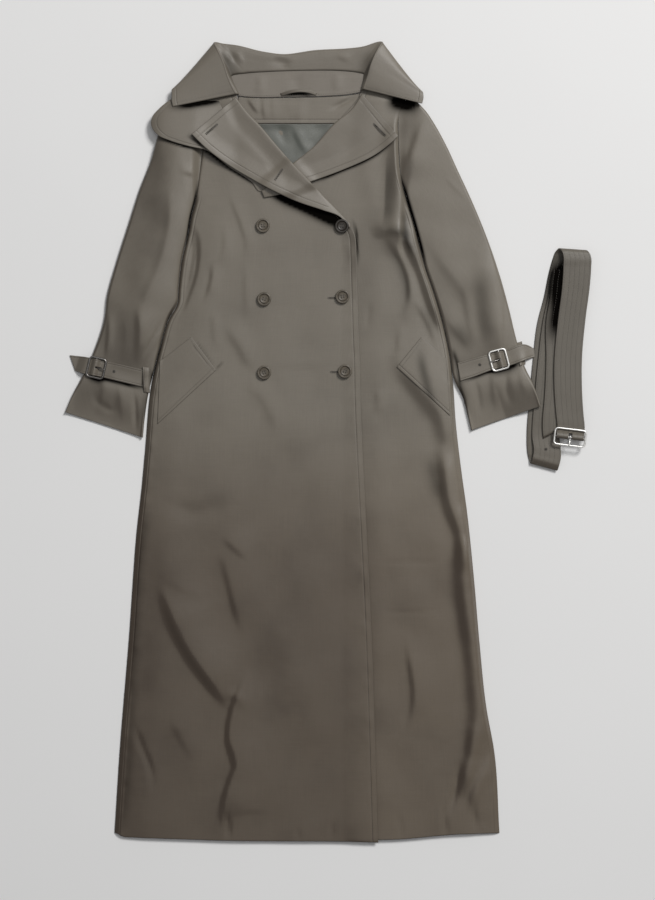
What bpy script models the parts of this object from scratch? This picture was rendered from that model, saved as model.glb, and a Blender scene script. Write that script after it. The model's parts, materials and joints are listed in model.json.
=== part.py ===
"""A double-breasted trench coat laid flat on its back, with its own belt folded beside it.

Tables and sizes are in millimetres and are turned into metres when a mesh is made. +Z is up,
+Y runs from the hem to the collar, and +X is to the right as one looks down on the coat, so
the wearer's right side lies at -X. Each cloth piece is a sheet or a flattened tube laid over
the pieces below it, whose upper faces are kept in a map of heights.
"""

import math
from collections import namedtuple

import bmesh
import bpy
import numpy as np
from mathutils import Vector

MM = 0.001

# Cloth, in layers that lie on each other
CLOTH = 1.5
SEAM_GAP = 0.3
LAY_GAP = 0.4
SHARP_DEGREES = 40

# Back panel, and the facing and lining on it
BACK_INSET = 4.5
BACK_HEM_Y = -641.0
BACK_SHOULDER_Y = 554.0
BACK_NECK_RISE = 14.0
BACK_NECK_SHARES = (0.4, 1.0)
BACK_HEM_DROP = 9.0
BACK_ROWS = 23
BACK_SHARES = (0.0, 0.17, 0.34, 0.5, 0.66, 0.83, 1.0)
SHOULDER_SHARE = 0.17
SIDE_STEPS = 200
FACING_CELLS = (14, 3)
LINING_CELLS = (4, 6)

# Fronts, which reach down beside the back at their sides
FRONT_ROWS = 32
FRONT_COLUMNS = 11
EDGE_REACH = (0.0, 2.8, 8.0, 20.0)
BODY_RISE = 2.3
BODY_RISE_REACH = 40.0
FOLD_START_REACH = 20.0
ARMHOLE_REACH = 20.0

# Sleeves
SLEEVE_ROWS = 21
SLEEVE_HEIGHT = 6.8
ARMHOLE_GAP = 0.5
UNDERARM_GAP = 1.4
CUFF_LIFT_REACH = 60.0
LOWER_POINTS = 4
UPPER_POINTS = 9
TURN_DEGREES = (-50.0, 0.0, 50.0)

# Lapels, flap and welts
LAPEL_ROWS = 14
LAPEL_COLUMNS = 4
LAPEL_FULL_WIDTH = 50.0
ROLL_HEIGHT = 5.0
ROLL_REACH = (0.0, 3.5, 8.0, 14.0, 24.0)
ROLL_START = 8.0
ROLL_END = 28.0
ROLL_FADE = 20.0
FLAP_CELLS = (15, 6)
WELT_CELLS = (8, 6)

# The map of heights
CELL = 4.0
MAP_HALF_X = 460.0
MAP_HALF_Y = 700.0
FINE_STEP = 2.0

# Collar and hanger loop
STAND_CELLS = (14, 2)
STAND_LOW = 2.6
STAND_HIGH = 3.3
FOLD_TURN = 7.0
FOLD_TURN_SHARE = 0.45
FOLD_HALF_HEIGHT = 2.8
FOLD_SHOULDER = 0.4
FOLD_SHOULDER_RISE = 0.85
FALL_SHOULDER = 1.5
LEAF_BULGE = 1.5
FALL_SHARES = (0.2, 0.6, 1.0)
LOOP_CELLS = (12, 1)
LOOP_THICK = 1.2
LOOP_REST = 0.6

# Buttons
BUTTON_DIAMETER = 23.0
BUTTON_THICK = 3.4
BUTTON_SIDES = 16
BUTTON_FOOT = 1.2
BUTTON_WIDEST = 1.4
BUTTON_SHOULDER = 0.8
BUTTON_RIM = 3.0
BUTTON_WELL = 4.2
BUTTON_SINK = 1.2

# Cuff straps and their buckles
STRAP_ROWS = 32
STRAP_WIDE = 27.0
STRAP_THICK = 1.8
STRAP_REST = 0.6
CUFF_BUCKLE_LONG = 29.0
CUFF_BUCKLE_WIDE = 34.0
CUFF_WIRE = 1.2
CUFF_BAR_OFFSET = -2.5
CUFF_WEAVE_HALF = 8.3
CUFF_SLOT = 4.5
CUFF_SLOT_START = -1.5
CUFF_SLOT_END = 8.0
CUFF_REACH_X = 20.0
CUFF_REACH_Y = 16.0
KEEPER_CELLS = (12, 2)

# Belt and its buckle
BELT_THICK = 2.4
BELT_WIDE = 46.0
BELT_BUCKLE_LONG = 30.0
BELT_BUCKLE_WIDE = 54.0
BELT_WIRE = 1.7
BAR_RADIUS = 1.3
BUCKLE_CORNER = 5.0
CORNER_STEPS = 3
WIRE_SIDES = 8
PRONG_RADIUS = 1.0
CUFF_PRONG_BENDS = ((0.3, 0.6), (0.65, 1.0), (1.0, 1.0))
BELT_PRONG_BENDS = ((0.45, 0.7), (0.7, 1.0), (1.0, 1.0))
EYE_CLEARANCE = 0.5
EYE_RADIUS = BAR_RADIUS + EYE_CLEARANCE + PRONG_RADIUS
EYE_RISE = 0.4
EYE_SIDES = 12
PRONG_SLOT = 5.6
SLOT_REACH = 6.5

Frame = namedtuple("Frame", "long wide wire bar_y")
CUFF_FRAME = Frame(CUFF_BUCKLE_LONG, CUFF_BUCKLE_WIDE, CUFF_WIRE, CUFF_BAR_OFFSET)
BELT_FRAME = Frame(BELT_BUCKLE_LONG, BELT_BUCKLE_WIDE, BELT_WIRE, 0.0)

Front = namedtuple("Front", "side_x side_y edge_x edge_y")
Sleeve = namedtuple("Sleeve", "outer_x outer_y inner_x inner_y bow lift")
Strip = namedtuple("Strip", "start_x start_y end_x end_y")
Leaf = namedtuple("Leaf", "seam_x seam_y fold_x fold_y fold_z edge_x edge_y edge_z under")
Fold = namedtuple("Fold", "start_x start_y end_x end_y half_width height")
Pass = namedtuple("Pass", "centre_x centre_y centre_z tilt")
Buckle = namedtuple("Buckle", "centre_x centre_y slope pull")

# Rows run from the hem to the shoulder
FRONT_RIGHT = (
    Front(-353, -644, 82, -659),
    Front(-344, -504, 78, -516),
    Front(-329, -321, 72, -330),
    Front(-316, -143, 64, -160),
    Front(-308, -72, 60, -80),
    Front(-302, -6, 56, 0),
    Front(-295, 75, 53, 75),
    Front(-288, 116, 52, 130),
    Front(-277, 158, 50, 175),
    Front(-265, 199, 49, 212),
    Front(-249, 229, 48, 245),
    Front(-247, 252, 47, 272),
    Front(-242, 298, 46, 310),
    Front(-233, 337, 42, 345),
    Front(-227, 370, 22, 373),
    Front(-219, 400, -4, 400),
    Front(-213, 440, -38, 436),
    Front(-208, 480, -72, 473),
    Front(-206, 520, -110, 519),
    Front(-205, 553, -150, 568),
)
FRONT_LEFT = (
    Front(282, -644, -139, -654),
    Front(273, -507, -139, -516),
    Front(261, -441, -138, -450),
    Front(249, -329, -138, -330),
    Front(240, -225, -137, -225),
    Front(228, -110, -137, -110),
    Front(220, -53, -136, -40),
    Front(210, 32, -136, 40),
    Front(205, 103, -135, 110),
    Front(199, 149, -135, 160),
    Front(185, 210, -135, 215),
    Front(172, 253, -135, 262),
    Front(161, 285, -136, 300),
    Front(151, 323, -136, 345),
    Front(142, 357, -134, 380),
    Front(129, 401, -110, 414),
    Front(119, 440, -80, 440),
    Front(116, 470, -46, 468),
    Front(115, 503, -12, 500),
    Front(115, 533, 22, 537),
    Front(115, 556, 52, 575),
)
SLEEVE_RIGHT = (
    Sleeve(-205.3, 553, -219, 400, -3.6, 0),
    Sleeve(-233, 560, -223, 385, 0, 0),
    Sleeve(-258, 549, -227, 370, 0, 0),
    Sleeve(-276, 519, -233, 337, 0, 0),
    Sleeve(-293, 463, -242, 298, 0, 0),
    Sleeve(-311, 417, -247, 262, 0, 0),
    Sleeve(-328, 364, -252, 230, 0, 0),
    Sleeve(-349, 298, -266, 201, 0, 0),
    Sleeve(-365, 240, -277, 170, 0, 0),
    Sleeve(-369, 205, -286, 145, 0, 0),
    Sleeve(-387, 149, -292, 110, 0, 0),
    Sleeve(-406, 108, -298, 75, 0, 0),
    Sleeve(-422, 78, -303, 40, 0, 0),
    Sleeve(-434, 50, -306, 8, 0, 0),
)
SLEEVE_LEFT = (
    Sleeve(114.9, 556, 119.0, 440, 1.8, 0),
    Sleeve(136, 567, 125, 418, 0, 0),
    Sleeve(156, 551, 129, 401, 0, 0),
    Sleeve(175, 524, 136, 378, 0, 0),
    Sleeve(193, 491, 142, 357, 0, 0),
    Sleeve(212, 450, 151, 323, 0, 0),
    Sleeve(236, 398, 161, 285, 0, 0),
    Sleeve(258, 345, 172, 253, 0, 0),
    Sleeve(283, 272, 185, 210, 0, 0),
    Sleeve(298, 217, 194, 174, 0, 0),
    Sleeve(308, 175, 200, 146, 0, 0),
    Sleeve(322, 128, 212, 108, 0, 0),
    Sleeve(337, 95, 224, 66, 0, 5.6),
    Sleeve(349, 60, 235, 20, 0, 7.6),
)
GUN_FLAP = (
    Strip(-260, 565, -180, 562),
    Strip(-277, 551, -176, 552),
    Strip(-291, 533, -172, 543),
    Strip(-291, 519, -169, 534),
    Strip(-279, 504, -166, 525),
    Strip(-261, 496, -161, 515),
    Strip(-227, 486, -152, 504),
    Strip(-203, 481, -142, 494),
    Strip(-163, 453, -122, 472),
    Strip(-126, 428, -104, 450),
    Strip(-113, 413, -94, 430),
    Strip(-97, 415, -88, 422),
)
LAPEL_RIGHT = (
    Strip(-153, 568, -225, 506),
    Strip(-134, 543, -200, 482),
    Strip(-112, 520, -166, 457),
    Strip(-92, 496, -126, 433),
    Strip(-67, 467, -92, 414),
    Strip(-45, 443, -49, 395),
    Strip(-18, 415, -10, 382),
    Strip(12, 384, 19, 371),
    Strip(36, 358, 36, 352),
)
LAPEL_LEFT = (
    Strip(55, 574, 115, 504),
    Strip(41, 552, 102, 492),
    Strip(11, 526, 76, 473),
    Strip(-26, 485, 19, 447),
    Strip(-56, 461, -29, 429),
    Strip(-88, 433, -80, 408),
    Strip(-110, 413, -106, 403),
)
# The seam where the neck joins the stand, and the one where the stand joins the leaf
NECK = (
    Strip(-149, 571, -163, 605),
    Strip(-135, 569.5, -147, 607),
    Strip(-118, 568.5, -128, 609),
    Strip(-77, 569, -76, 612),
    Strip(4, 571, 8, 613),
    Strip(30, 573, 38, 611),
    Strip(53, 577, 60, 608),
)
FACING_LOW_Y = 526.0
LINING = (
    Strip(-118, 440, 30, 440),
    Strip(-140, 525, 48, 525),
)
# Stations of the leaf from its right front end, round the back of the neck, to its left one
COLLAR_LEAF = (
    Leaf(-147, 574, -152, 573, 9, -256, 554, 16, 0),
    Leaf(-152, 584, -158, 584, 14, -258, 566, 16, 0),
    Leaf(-157, 594, -165, 600, 18, -259, 576, 15, 0),
    Leaf(-160, 602, -172, 622, 20, -259, 584, 13, 0),
    Leaf(-156, 606, -183, 647, 17, -258, 589, 9, 0.1),
    Leaf(-149, 607.6, -188, 657, 12, -255, 590, 5, 0.5),
    Leaf(-142, 608, -187, 659, 7, -245, 587, 0.75, 0.9),
    Leaf(-132, 609.5, -176, 658, 4.2, -205, 583, 0.75, 1),
    Leaf(-115, 610.6, -150, 655, 3.8, -160, 582, 0.75, 1),
    Leaf(-76, 612.6, -98, 643, 3.8, -100, 581, 0.75, 1),
    Leaf(-48, 613.2, -66, 641, 3.8, -64, 581, 0.75, 1),
    Leaf(-20, 613.6, -24, 646, 3.8, -24, 582, 0.75, 1),
    Leaf(8, 613.6, 22, 648, 3.8, 30, 584, 0.75, 1),
    Leaf(30, 612.4, 56, 652, 3.8, 80, 585, 0.75, 1),
    Leaf(42, 611, 78, 659, 4.2, 112, 583, 0.75, 1),
    Leaf(48, 610, 87, 660, 7, 146, 584, 0.75, 0.9),
    Leaf(53, 609, 88, 658, 12, 156, 587, 5, 0.5),
    Leaf(57, 608, 82, 648, 17, 159, 586, 9, 0.1),
    Leaf(58, 604, 70, 622, 20, 160, 580, 13, 0),
    Leaf(57, 596, 64, 602, 18, 158, 571, 15, 0),
    Leaf(55, 588, 60, 590, 14, 157, 565, 16, 0),
    Leaf(53, 580, 57, 581, 9, 156, 560, 16, 0),
)
HANGER_LOOP = (
    Strip(-77, 570.6, -80, 575),
    Strip(-63, 574.5, -65, 579.5),
    Strip(-47, 576.5, -47, 581.5),
    Strip(-34, 575.5, -31, 580.5),
    Strip(-21, 571.6, -18, 576),
)
WELT_RIGHT = (
    Strip(-226, 174, -185, 119),
    Strip(-278, 134, -282, 30),
)
WELT_LEFT = (
    Strip(153, 174, 112, 124),
    Strip(194, 138, 200, 44),
)
BUTTONS = ((-108, 357), (-106, 236), (-106, 115), (22, 356), (23, 240), (27, 117))
STRAP_RIGHT = (
    Strip(-427, 144, -418, 118),
    Strip(-404, 141.5, -406, 114),
    Strip(-370, 134.5, -376, 108),
    Strip(-340, 128, -346, 101),
    Strip(-311, 121, -317, 94),
    Strip(-297, 117.5, -303, 90.5),
)
STRAP_LEFT = (
    Strip(349, 148, 350, 143),
    Strip(327, 161, 334, 139),
    Strip(293, 153, 300, 127),
    Strip(260, 144.5, 267, 118.5),
    Strip(232, 137, 239, 108),
    Strip(212, 131, 217, 101),
)
# The slope of each strap, and which way along it the tip was pulled
CUFF_BUCKLE_RIGHT = Buckle(-382, 123, -13, 1)
CUFF_BUCKLE_LEFT = Buckle(280.5, 136, 15, -1)
KEEPER_RIGHT = (
    Strip(-306, 125, -295, 123),
    Strip(-304, 83, -294, 81),
)
KEEPER_LEFT = (
    Strip(309, 164, 319, 167),
    Strip(315, 126, 325, 129),
)
# The belt from its buckle up, over the top, down, round the lower loop, up and down to its end
BELT = (
    Pass(397.9, 14.8, 10.8, -7),
    Pass(397.5, 11.6, 11.9, -7),
    Pass(397, 8.5, 12.5, -7),
    Pass(396.75, 6.5, 13.3, -7),
    Pass(396.65, 5.7, 15.3, -7),
    Pass(396.75, 6.5, 17.3, -7),
    Pass(397, 8.5, 18.1, -7),
    Pass(397.4, 11.5, 17.6, -7),
    Pass(397.7, 14.5, 15.6, -7),
    Pass(398.1, 17.3, 12.9, -7),
    Pass(398.4, 19.8, 11.8, -7),
    Pass(398.7, 24, 11.6, -7),
    Pass(398.4, 32, 11.6, -6),
    Pass(397, 45, 11.4, -5),
    Pass(394, 90, 11.6, -1),
    Pass(394, 136, 11.6, 2),
    Pass(400, 202, 12.0, 5),
    Pass(407, 258, 12.9, 3),
    Pass(409, 288, 13.2, 0),
    Pass(409, 305, 13.2, -3),
    Pass(406, 314, 11.2, -4),
    Pass(402, 317.5, 7.2, -4),
    Pass(398, 314, 3.2, -4),
    Pass(394, 305, 1.3, -3),
    Pass(388, 286, 1.3, 0),
    Pass(378, 240, 1.3, 4),
    Pass(368, 202, 1.3, 5),
    Pass(360, 136, 1.3, 3),
    Pass(354, 70, 1.3, 1),
    Pass(350, 10, 1.3, -2),
    Pass(351, -22, 1.3, -10),
    Pass(353, -34, 1.6, -14),
    Pass(355, -39.6, 4.4, -15),
    Pass(357, -34, 7.2, -15),
    Pass(360, -22, 7.2, -12),
    Pass(358, 10, 4.7, -4),
    Pass(362, 70, 4.5, 0),
    Pass(368, 136, 4.5, 2),
    Pass(376, 202, 4.5, 4),
    Pass(386, 250, 4.3, 4),
    Pass(390, 272, 4.1, 2),
    Pass(392, 281, 4.5, 0),
    Pass(392, 284, 6.6, 0),
    Pass(392, 281, 8.8, 0),
    Pass(390, 270, 9.3, 2),
    Pass(387, 240, 8.9, 4),
    Pass(381, 202, 8.2, 4),
    Pass(381, 136, 8.0, 2),
    Pass(378, 70, 8.0, 0),
    Pass(375, 38, 8.0, 6),
    Pass(374, 17, 8.0, 27),
)
BELT_TILT = -7.0
BELT_BUCKLE_CENTRE = (397.0, 8.5, 15.3)

# Where each front's armhole ends and its side starts
ARMHOLE_LEFT_Y = 430.0
ARMHOLE_RIGHT_Y = 400.0

# The largest soft folds, as raised ridges
FOLDS_RIGHT = (
    Fold(-292, -190, -252, -330, 26, 3.5),
    Fold(-252, -330, -172, -450, 24, 4.5),
    Fold(-160, -460, -170, -640, 24, 4.0),
    Fold(-225, 330, -245, 200, 20, 3.0),
    Fold(-172, 90, -130, -120, 28, 2.5),
    Fold(-40, -300, -20, -620, 30, 2.0),
)
FOLDS_LEFT = (
    Fold(142, 90, 176, -50, 26, 5.5),
    Fold(176, -50, 208, -230, 26, 6.0),
    Fold(208, -230, 236, -480, 24, 5.0),
    Fold(120, 300, 150, 210, 22, 4.0),
    Fold(100, 470, 84, 350, 20, 4.0),
    Fold(122, -350, 134, -560, 26, 3.0),
)
FOLDS_SLEEVE_RIGHT = (
    Fold(-265, 470, -322, 260, 26, 4.0),
    Fold(-330, 240, -350, 180, 20, 3.5),
    Fold(-350, 80, -362, 40, 14, 3.0),
)
FOLDS_SLEEVE_LEFT = (
    Fold(158, 470, 215, 330, 26, 4.5),
    Fold(225, 300, 262, 200, 24, 4.0),
    Fold(262, 80, 275, 40, 14, 3.0),
)

Finish = namedtuple("Finish", "colour roughness metallic")
SHELL_CLOTH = Finish((0.150, 0.137, 0.118), 0.55, 0.0)
LINING_CLOTH = Finish((0.165, 0.175, 0.160), 0.50, 0.0)
BUTTON_RESIN = Finish((0.110, 0.098, 0.082), 0.40, 0.0)
BUCKLE_STEEL = Finish((0.720, 0.700, 0.670), 0.25, 1.0)


def clear_scene():
    for obj in list(bpy.data.objects):
        bpy.data.objects.remove(obj, do_unlink=True)


def material_of(name, finish):
    material = bpy.data.materials.new(name)
    material.use_nodes = True
    shader = material.node_tree.nodes["Principled BSDF"]
    shader.inputs["Base Color"].default_value = (*finish.colour, 1.0)
    shader.inputs["Roughness"].default_value = finish.roughness
    shader.inputs["Metallic"].default_value = finish.metallic
    material.diffuse_color = (*finish.colour, 1.0)
    return material


def add_object(name, points, faces, finish):
    """One closed body, from points in millimetres."""
    mesh = bpy.data.meshes.new(name)
    mesh.from_pydata((np.asarray(points) * MM).tolist(), [], faces)
    builder = bmesh.new()
    builder.from_mesh(mesh)
    bmesh.ops.recalc_face_normals(builder, faces=builder.faces)
    builder.to_mesh(mesh)
    builder.free()
    mesh.shade_smooth()
    mesh.set_sharp_from_angle(angle=math.radians(SHARP_DEGREES))
    obj = bpy.data.objects.new(name, mesh)
    obj.data.materials.append(material_of(name, finish))
    bpy.context.scene.collection.objects.link(obj)
    return obj


def smooth_curve(table, wanted_of):
    """Rows along a smooth curve through the rows of a table, at the stations asked for."""
    knots = np.array(table, dtype=float)
    steps = np.linalg.norm(np.diff(knots, axis=0), axis=1)
    stations = np.concatenate(([0.0], np.cumsum(steps)))
    slopes = np.gradient(knots, stations, axis=0)
    wanted = wanted_of(stations)
    cell = np.clip(np.searchsorted(stations, wanted, side="right") - 1, 0, len(steps) - 1)
    span = steps[cell][:, None]
    along = ((wanted - stations[cell]) / steps[cell])[:, None]
    start_weight = (1 + 2 * along) * (1 - along) ** 2
    end_weight = along**2 * (3 - 2 * along)
    start_bend = along * (1 - along) ** 2 * span
    end_bend = along**2 * (along - 1) * span
    curve = start_weight * knots[cell] + end_weight * knots[cell + 1]
    return curve + start_bend * slopes[cell] + end_bend * slopes[cell + 1]


def smooth_rows(table, count):
    """Rows spaced evenly along the curve."""
    return smooth_curve(table, lambda stations: np.linspace(0.0, stations[-1], count + 1))


def smooth_spans(table, parts):
    """Rows that cut each span between two rows of the table into equal parts."""
    places = np.arange((len(table) - 1) * parts + 1) / parts
    return smooth_curve(
        table, lambda stations: np.interp(places, np.arange(len(stations)), stations)
    )


def spread(rows, near, count):
    """For each row its distances from the start: close ones at an edge, then even ones."""
    lengths = np.linalg.norm(rows[:, 2:4] - rows[:, 0:2], axis=1)
    even = np.linspace(0.0, 1.0, count + 1)[1:]
    scale = np.minimum(1.0, lengths / (2 * near[-1]))[:, None]
    close = np.array(near) * scale
    last = close[:, -1:]
    return np.hstack([close, last + (lengths[:, None] - last) * even])


def across(rows, distances):
    """Points at these distances along each row, from its start to its end."""
    starts = rows[:, None, 0:2]
    runs = rows[:, None, 2:4] - starts
    lengths = np.linalg.norm(runs, axis=2, keepdims=True)
    return starts + runs / lengths * distances[:, :, None]


def even_grid(table, cells):
    row_count, column_count = cells
    rows = smooth_rows(table, row_count)
    lengths = np.linalg.norm(rows[:, 2:4] - rows[:, 0:2], axis=1)
    distances = lengths[:, None] * np.linspace(0.0, 1.0, column_count + 1)
    return across(rows, distances)


def smoothstep(value):
    clipped = np.clip(value, 0.0, 1.0)
    return clipped * clipped * (3 - 2 * clipped)


def ridge_height(points, folds):
    """How far the folds raise the cloth at these points."""
    raised = np.zeros(points.shape[:-1])
    for fold in folds:
        start = np.array([fold.start_x, fold.start_y], dtype=float)
        run = np.array([fold.end_x, fold.end_y], dtype=float) - start
        length = np.linalg.norm(run)
        offset = points - start
        along = (offset @ run) / length
        beside = (offset[..., 0] * run[1] - offset[..., 1] * run[0]) / length
        beyond = np.maximum(0.0, np.maximum(-along, along - length))
        reach = np.hypot(beside, beyond) / fold.half_width
        raised = np.maximum(raised, fold.height * np.exp(-(reach**2) * 2))
    return raised


def surface_normals(grid):
    rows = np.gradient(grid, axis=0)
    columns = np.gradient(grid, axis=1)
    normals = np.cross(columns, rows)
    return normals / np.linalg.norm(normals, axis=2, keepdims=True)


class Heights:
    """The highest cloth so far at each place, in square cells."""

    def __init__(self):
        columns = int(2 * MAP_HALF_X / CELL)
        rows = int(2 * MAP_HALF_Y / CELL)
        self.cells = np.zeros((rows, columns))

    def cell_of(self, points):
        column = ((points[..., 0] + MAP_HALF_X) / CELL).astype(int)
        row = ((points[..., 1] + MAP_HALF_Y) / CELL).astype(int)
        return row, column

    def add(self, grid):
        """Takes in the upper face of a piece."""
        corners = grid[:-1, :-1], grid[:-1, 1:], grid[1:, :-1], grid[1:, 1:]
        longest = max(
            np.linalg.norm(np.diff(grid[..., :2], axis=0), axis=2).max(),
            np.linalg.norm(np.diff(grid[..., :2], axis=1), axis=2).max(),
        )
        for up in np.linspace(0.0, 1.0, int(longest / FINE_STEP) + 2):
            left = corners[0] * (1 - up) + corners[2] * up
            right = corners[1] * (1 - up) + corners[3] * up
            for over in np.linspace(0.0, 1.0, int(longest / FINE_STEP) + 2):
                points = left * (1 - over) + right * over
                np.maximum.at(self.cells, self.cell_of(points), points[..., 2])

    def under(self, points, reach_x, reach_y):
        """The highest cloth within a reach of each point."""
        spread_x = math.ceil(reach_x / CELL)
        spread_y = math.ceil(reach_y / CELL)
        widest = self.cells.copy()
        for shift in range(-spread_x, spread_x + 1):
            widest = np.maximum(widest, np.roll(self.cells, shift, axis=1))
        highest = widest.copy()
        for shift in range(-spread_y, spread_y + 1):
            highest = np.maximum(highest, np.roll(widest, shift, axis=0))
        return highest[self.cell_of(points)]


def with_height(plan, heights):
    return np.concatenate([plan, heights[..., None]], axis=2)


def facet_reach(plan):
    steps = np.abs(np.concatenate([
        np.diff(plan, axis=0).reshape(-1, 2),
        np.diff(plan, axis=1).reshape(-1, 2),
    ]))
    return np.percentile(steps, 90, axis=0) + CELL / 2


def laid_on(cloth, plan, thick=CLOTH, gap=LAY_GAP):
    """The middle heights of a sheet that rests on what lies below it."""
    reach_x, reach_y = facet_reach(plan)
    return cloth.under(plan, reach_x, reach_y) + gap + thick / 2


def halves(ring):
    """A four-sided face as two triangles, cut the same way on both sides of a wall."""
    return ring[:3], (ring[0], ring[2], ring[3])


def add_sheet(name, grid, finish, thick=CLOTH, kept=None):
    """A closed wall either side of a grid of middle points, less any cells that are cut out."""
    rows, columns = grid.shape[:2]
    offset = surface_normals(grid) * thick / 2
    upper = (grid + offset).reshape(-1, 3)
    lower = (grid - offset).reshape(-1, 3)
    if kept is None:
        kept = np.ones((rows - 1, columns - 1), dtype=bool)
    count = rows * columns
    faces = []
    rim = {}
    for row, column in np.argwhere(kept):
        first = int(row * columns + column)
        ring = (first, first + 1, first + columns + 1, first + columns)
        for corners in halves(ring):
            faces.append(corners)
            faces.append(tuple(count + index for index in reversed(corners)))
        for start, end in zip(ring, ring[1:] + ring[:1]):
            if (end, start) in rim:
                del rim[(end, start)]
            else:
                rim[(start, end)] = True
    for start, end in rim:
        faces.append((end, start, count + start, count + end))
    points, faces = used_points(np.vstack([upper, lower]), faces)
    return add_object(name, points, faces, finish)


def used_points(points, faces):
    used = sorted({index for face in faces for index in face})
    place = {old: new for new, old in enumerate(used)}
    return points[used], [tuple(place[index] for index in face) for face in faces]


def add_tube(name, rings_outer, rings_inner, finish):
    """A wall between two grids that are closed round each ring."""
    rows, sides = rings_outer.shape[:2]
    inner_start = rows * sides
    faces = []
    for row in range(rows - 1):
        for side in range(sides):
            following = (side + 1) % sides
            low = row * sides
            high = low + sides
            ring = (low + side, low + following, high + following, high + side)
            for corners in halves(ring):
                faces.append(corners)
                faces.append(tuple(inner_start + index for index in reversed(corners)))
    for side in range(sides):
        following = (side + 1) % sides
        last = (rows - 1) * sides
        faces.append((side, inner_start + side, inner_start + following, following))
        faces.append((last + following, inner_start + last + following,
                      inner_start + last + side, last + side))
    points = np.vstack([rings_outer.reshape(-1, 3), rings_inner.reshape(-1, 3)])
    return add_object(name, points, faces, finish)


def side_x(table, heights):
    """Where a front's side lies at these distances up the coat."""
    rows = smooth_rows(table, SIDE_STEPS)
    return np.interp(heights, rows[:, 1], rows[:, 0])


def build_back(cloth):
    """The back, just inside the sides of the fronts, with its neck edge above the shoulders."""
    up = np.linspace(BACK_HEM_Y, BACK_SHOULDER_Y, BACK_ROWS)
    left = side_x(FRONT_RIGHT, up) + BACK_INSET
    right = side_x(FRONT_LEFT, up) - BACK_INSET
    share = np.array(BACK_SHARES)
    middle = np.minimum(1.0, np.minimum(share, 1 - share) / SHOULDER_SHARE)
    rise = np.zeros_like(up)
    rise[0] = -BACK_HEM_DROP
    rise[-2:] = BACK_NECK_RISE * np.array(BACK_NECK_SHARES)
    plan_x = left[:, None] + (right - left)[:, None] * share
    plan_y = up[:, None] + rise[:, None] * middle
    grid = np.stack([plan_x, plan_y, np.full(plan_x.shape, CLOTH / 2)], axis=2)
    add_sheet("back_panel", grid, SHELL_CLOTH)
    cloth.add(grid + (0.0, 0.0, CLOTH / 2))


def build_neck_inside(cloth):
    """The facing and the lining that show inside the neck, on the back panel."""
    facing = tuple(
        Strip(row.start_x, FACING_LOW_Y, row.start_x, row.start_y - SEAM_GAP) for row in NECK
    )
    facing_plan = even_grid(facing, FACING_CELLS)
    facing_grid = with_height(facing_plan, laid_on(cloth, facing_plan))
    lining_plan = even_grid(LINING, LINING_CELLS)
    lining_grid = with_height(lining_plan, laid_on(cloth, lining_plan))
    add_sheet("neck_facing", facing_grid, SHELL_CLOTH)
    add_sheet("lining", lining_grid, LINING_CLOTH)
    cloth.add(facing_grid + (0.0, 0.0, CLOTH / 2))
    cloth.add(lining_grid + (0.0, 0.0, CLOTH / 2))


def build_front(cloth, name, table, folds, armhole_y):
    """A front panel that reaches down past the edge of the back along its side."""
    rows = smooth_rows(table, FRONT_ROWS)
    distances = spread(rows, EDGE_REACH, FRONT_COLUMNS)
    plan = across(rows, distances)
    inside = smoothstep(distances / BODY_RISE_REACH)
    rise = CLOTH + SEAM_GAP + CLOTH / 2 + BODY_RISE * inside
    fold = ridge_height(plan, folds) * smoothstep(distances / FOLD_START_REACH)
    heights = np.maximum(laid_on(cloth, plan), rise) + fold
    beside_body = smoothstep((armhole_y - plan[:, 0, 1]) / ARMHOLE_REACH)
    heights[:, 0] += beside_body * (CLOTH / 2 - heights[:, 0])
    grid = with_height(plan, heights)
    add_sheet(name, grid, SHELL_CLOTH)
    cloth.add(grid + (0.0, 0.0, CLOTH / 2))


def ring_profile(width, thick_in):
    """Distance across and height of the points round a flattened ring, from its lower face up."""
    radius = SLEEVE_HEIGHT / 2 - thick_in
    low = np.linspace(SLEEVE_HEIGHT / 2, width - SLEEVE_HEIGHT / 2, LOWER_POINTS)
    high = np.linspace(width - SLEEVE_HEIGHT / 2, SLEEVE_HEIGHT / 2, UPPER_POINTS)
    turn = np.radians(TURN_DEGREES)
    near_x = SLEEVE_HEIGHT / 2 - radius * np.cos(turn[::-1])
    far_x = width - SLEEVE_HEIGHT / 2 + radius * np.cos(turn)
    middle = SLEEVE_HEIGHT / 2
    distance = np.concatenate([low, far_x, high, near_x])
    height = np.concatenate([
        np.full(LOWER_POINTS, thick_in),
        middle + radius * np.sin(turn),
        np.full(UPPER_POINTS, SLEEVE_HEIGHT - thick_in),
        middle + radius * np.sin(turn[::-1]),
    ])
    side = np.zeros(len(turn))
    crown = np.concatenate([np.zeros(LOWER_POINTS), side, np.ones(UPPER_POINTS), side])
    return distance, height, crown


def sleeve_rings(rows, folds, thick_in):
    rings = []
    for outer_x, outer_y, inner_x, inner_y, bow, lift in rows:
        start = np.array([outer_x, outer_y])
        run = np.array([inner_x, inner_y]) - start
        width = np.linalg.norm(run)
        run /= width
        distance, height, crown = ring_profile(width, thick_in)
        share = distance / width
        sideways = bow * 4 * share * (1 - share)
        plan = start + run * distance[:, None] + np.array([run[1], -run[0]]) * sideways[:, None]
        middle = np.sin(math.pi * np.clip(share, 0.0, 1.0)) ** 0.5
        height = height + crown * ridge_height(plan, folds) * middle
        raised = max(lift, 0.0)
        height = height + raised * np.clip(1 - distance / CUFF_LIFT_REACH, 0.0, 1.0)
        rings.append(np.column_stack([plan, height]))
    return np.array(rings)


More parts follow.
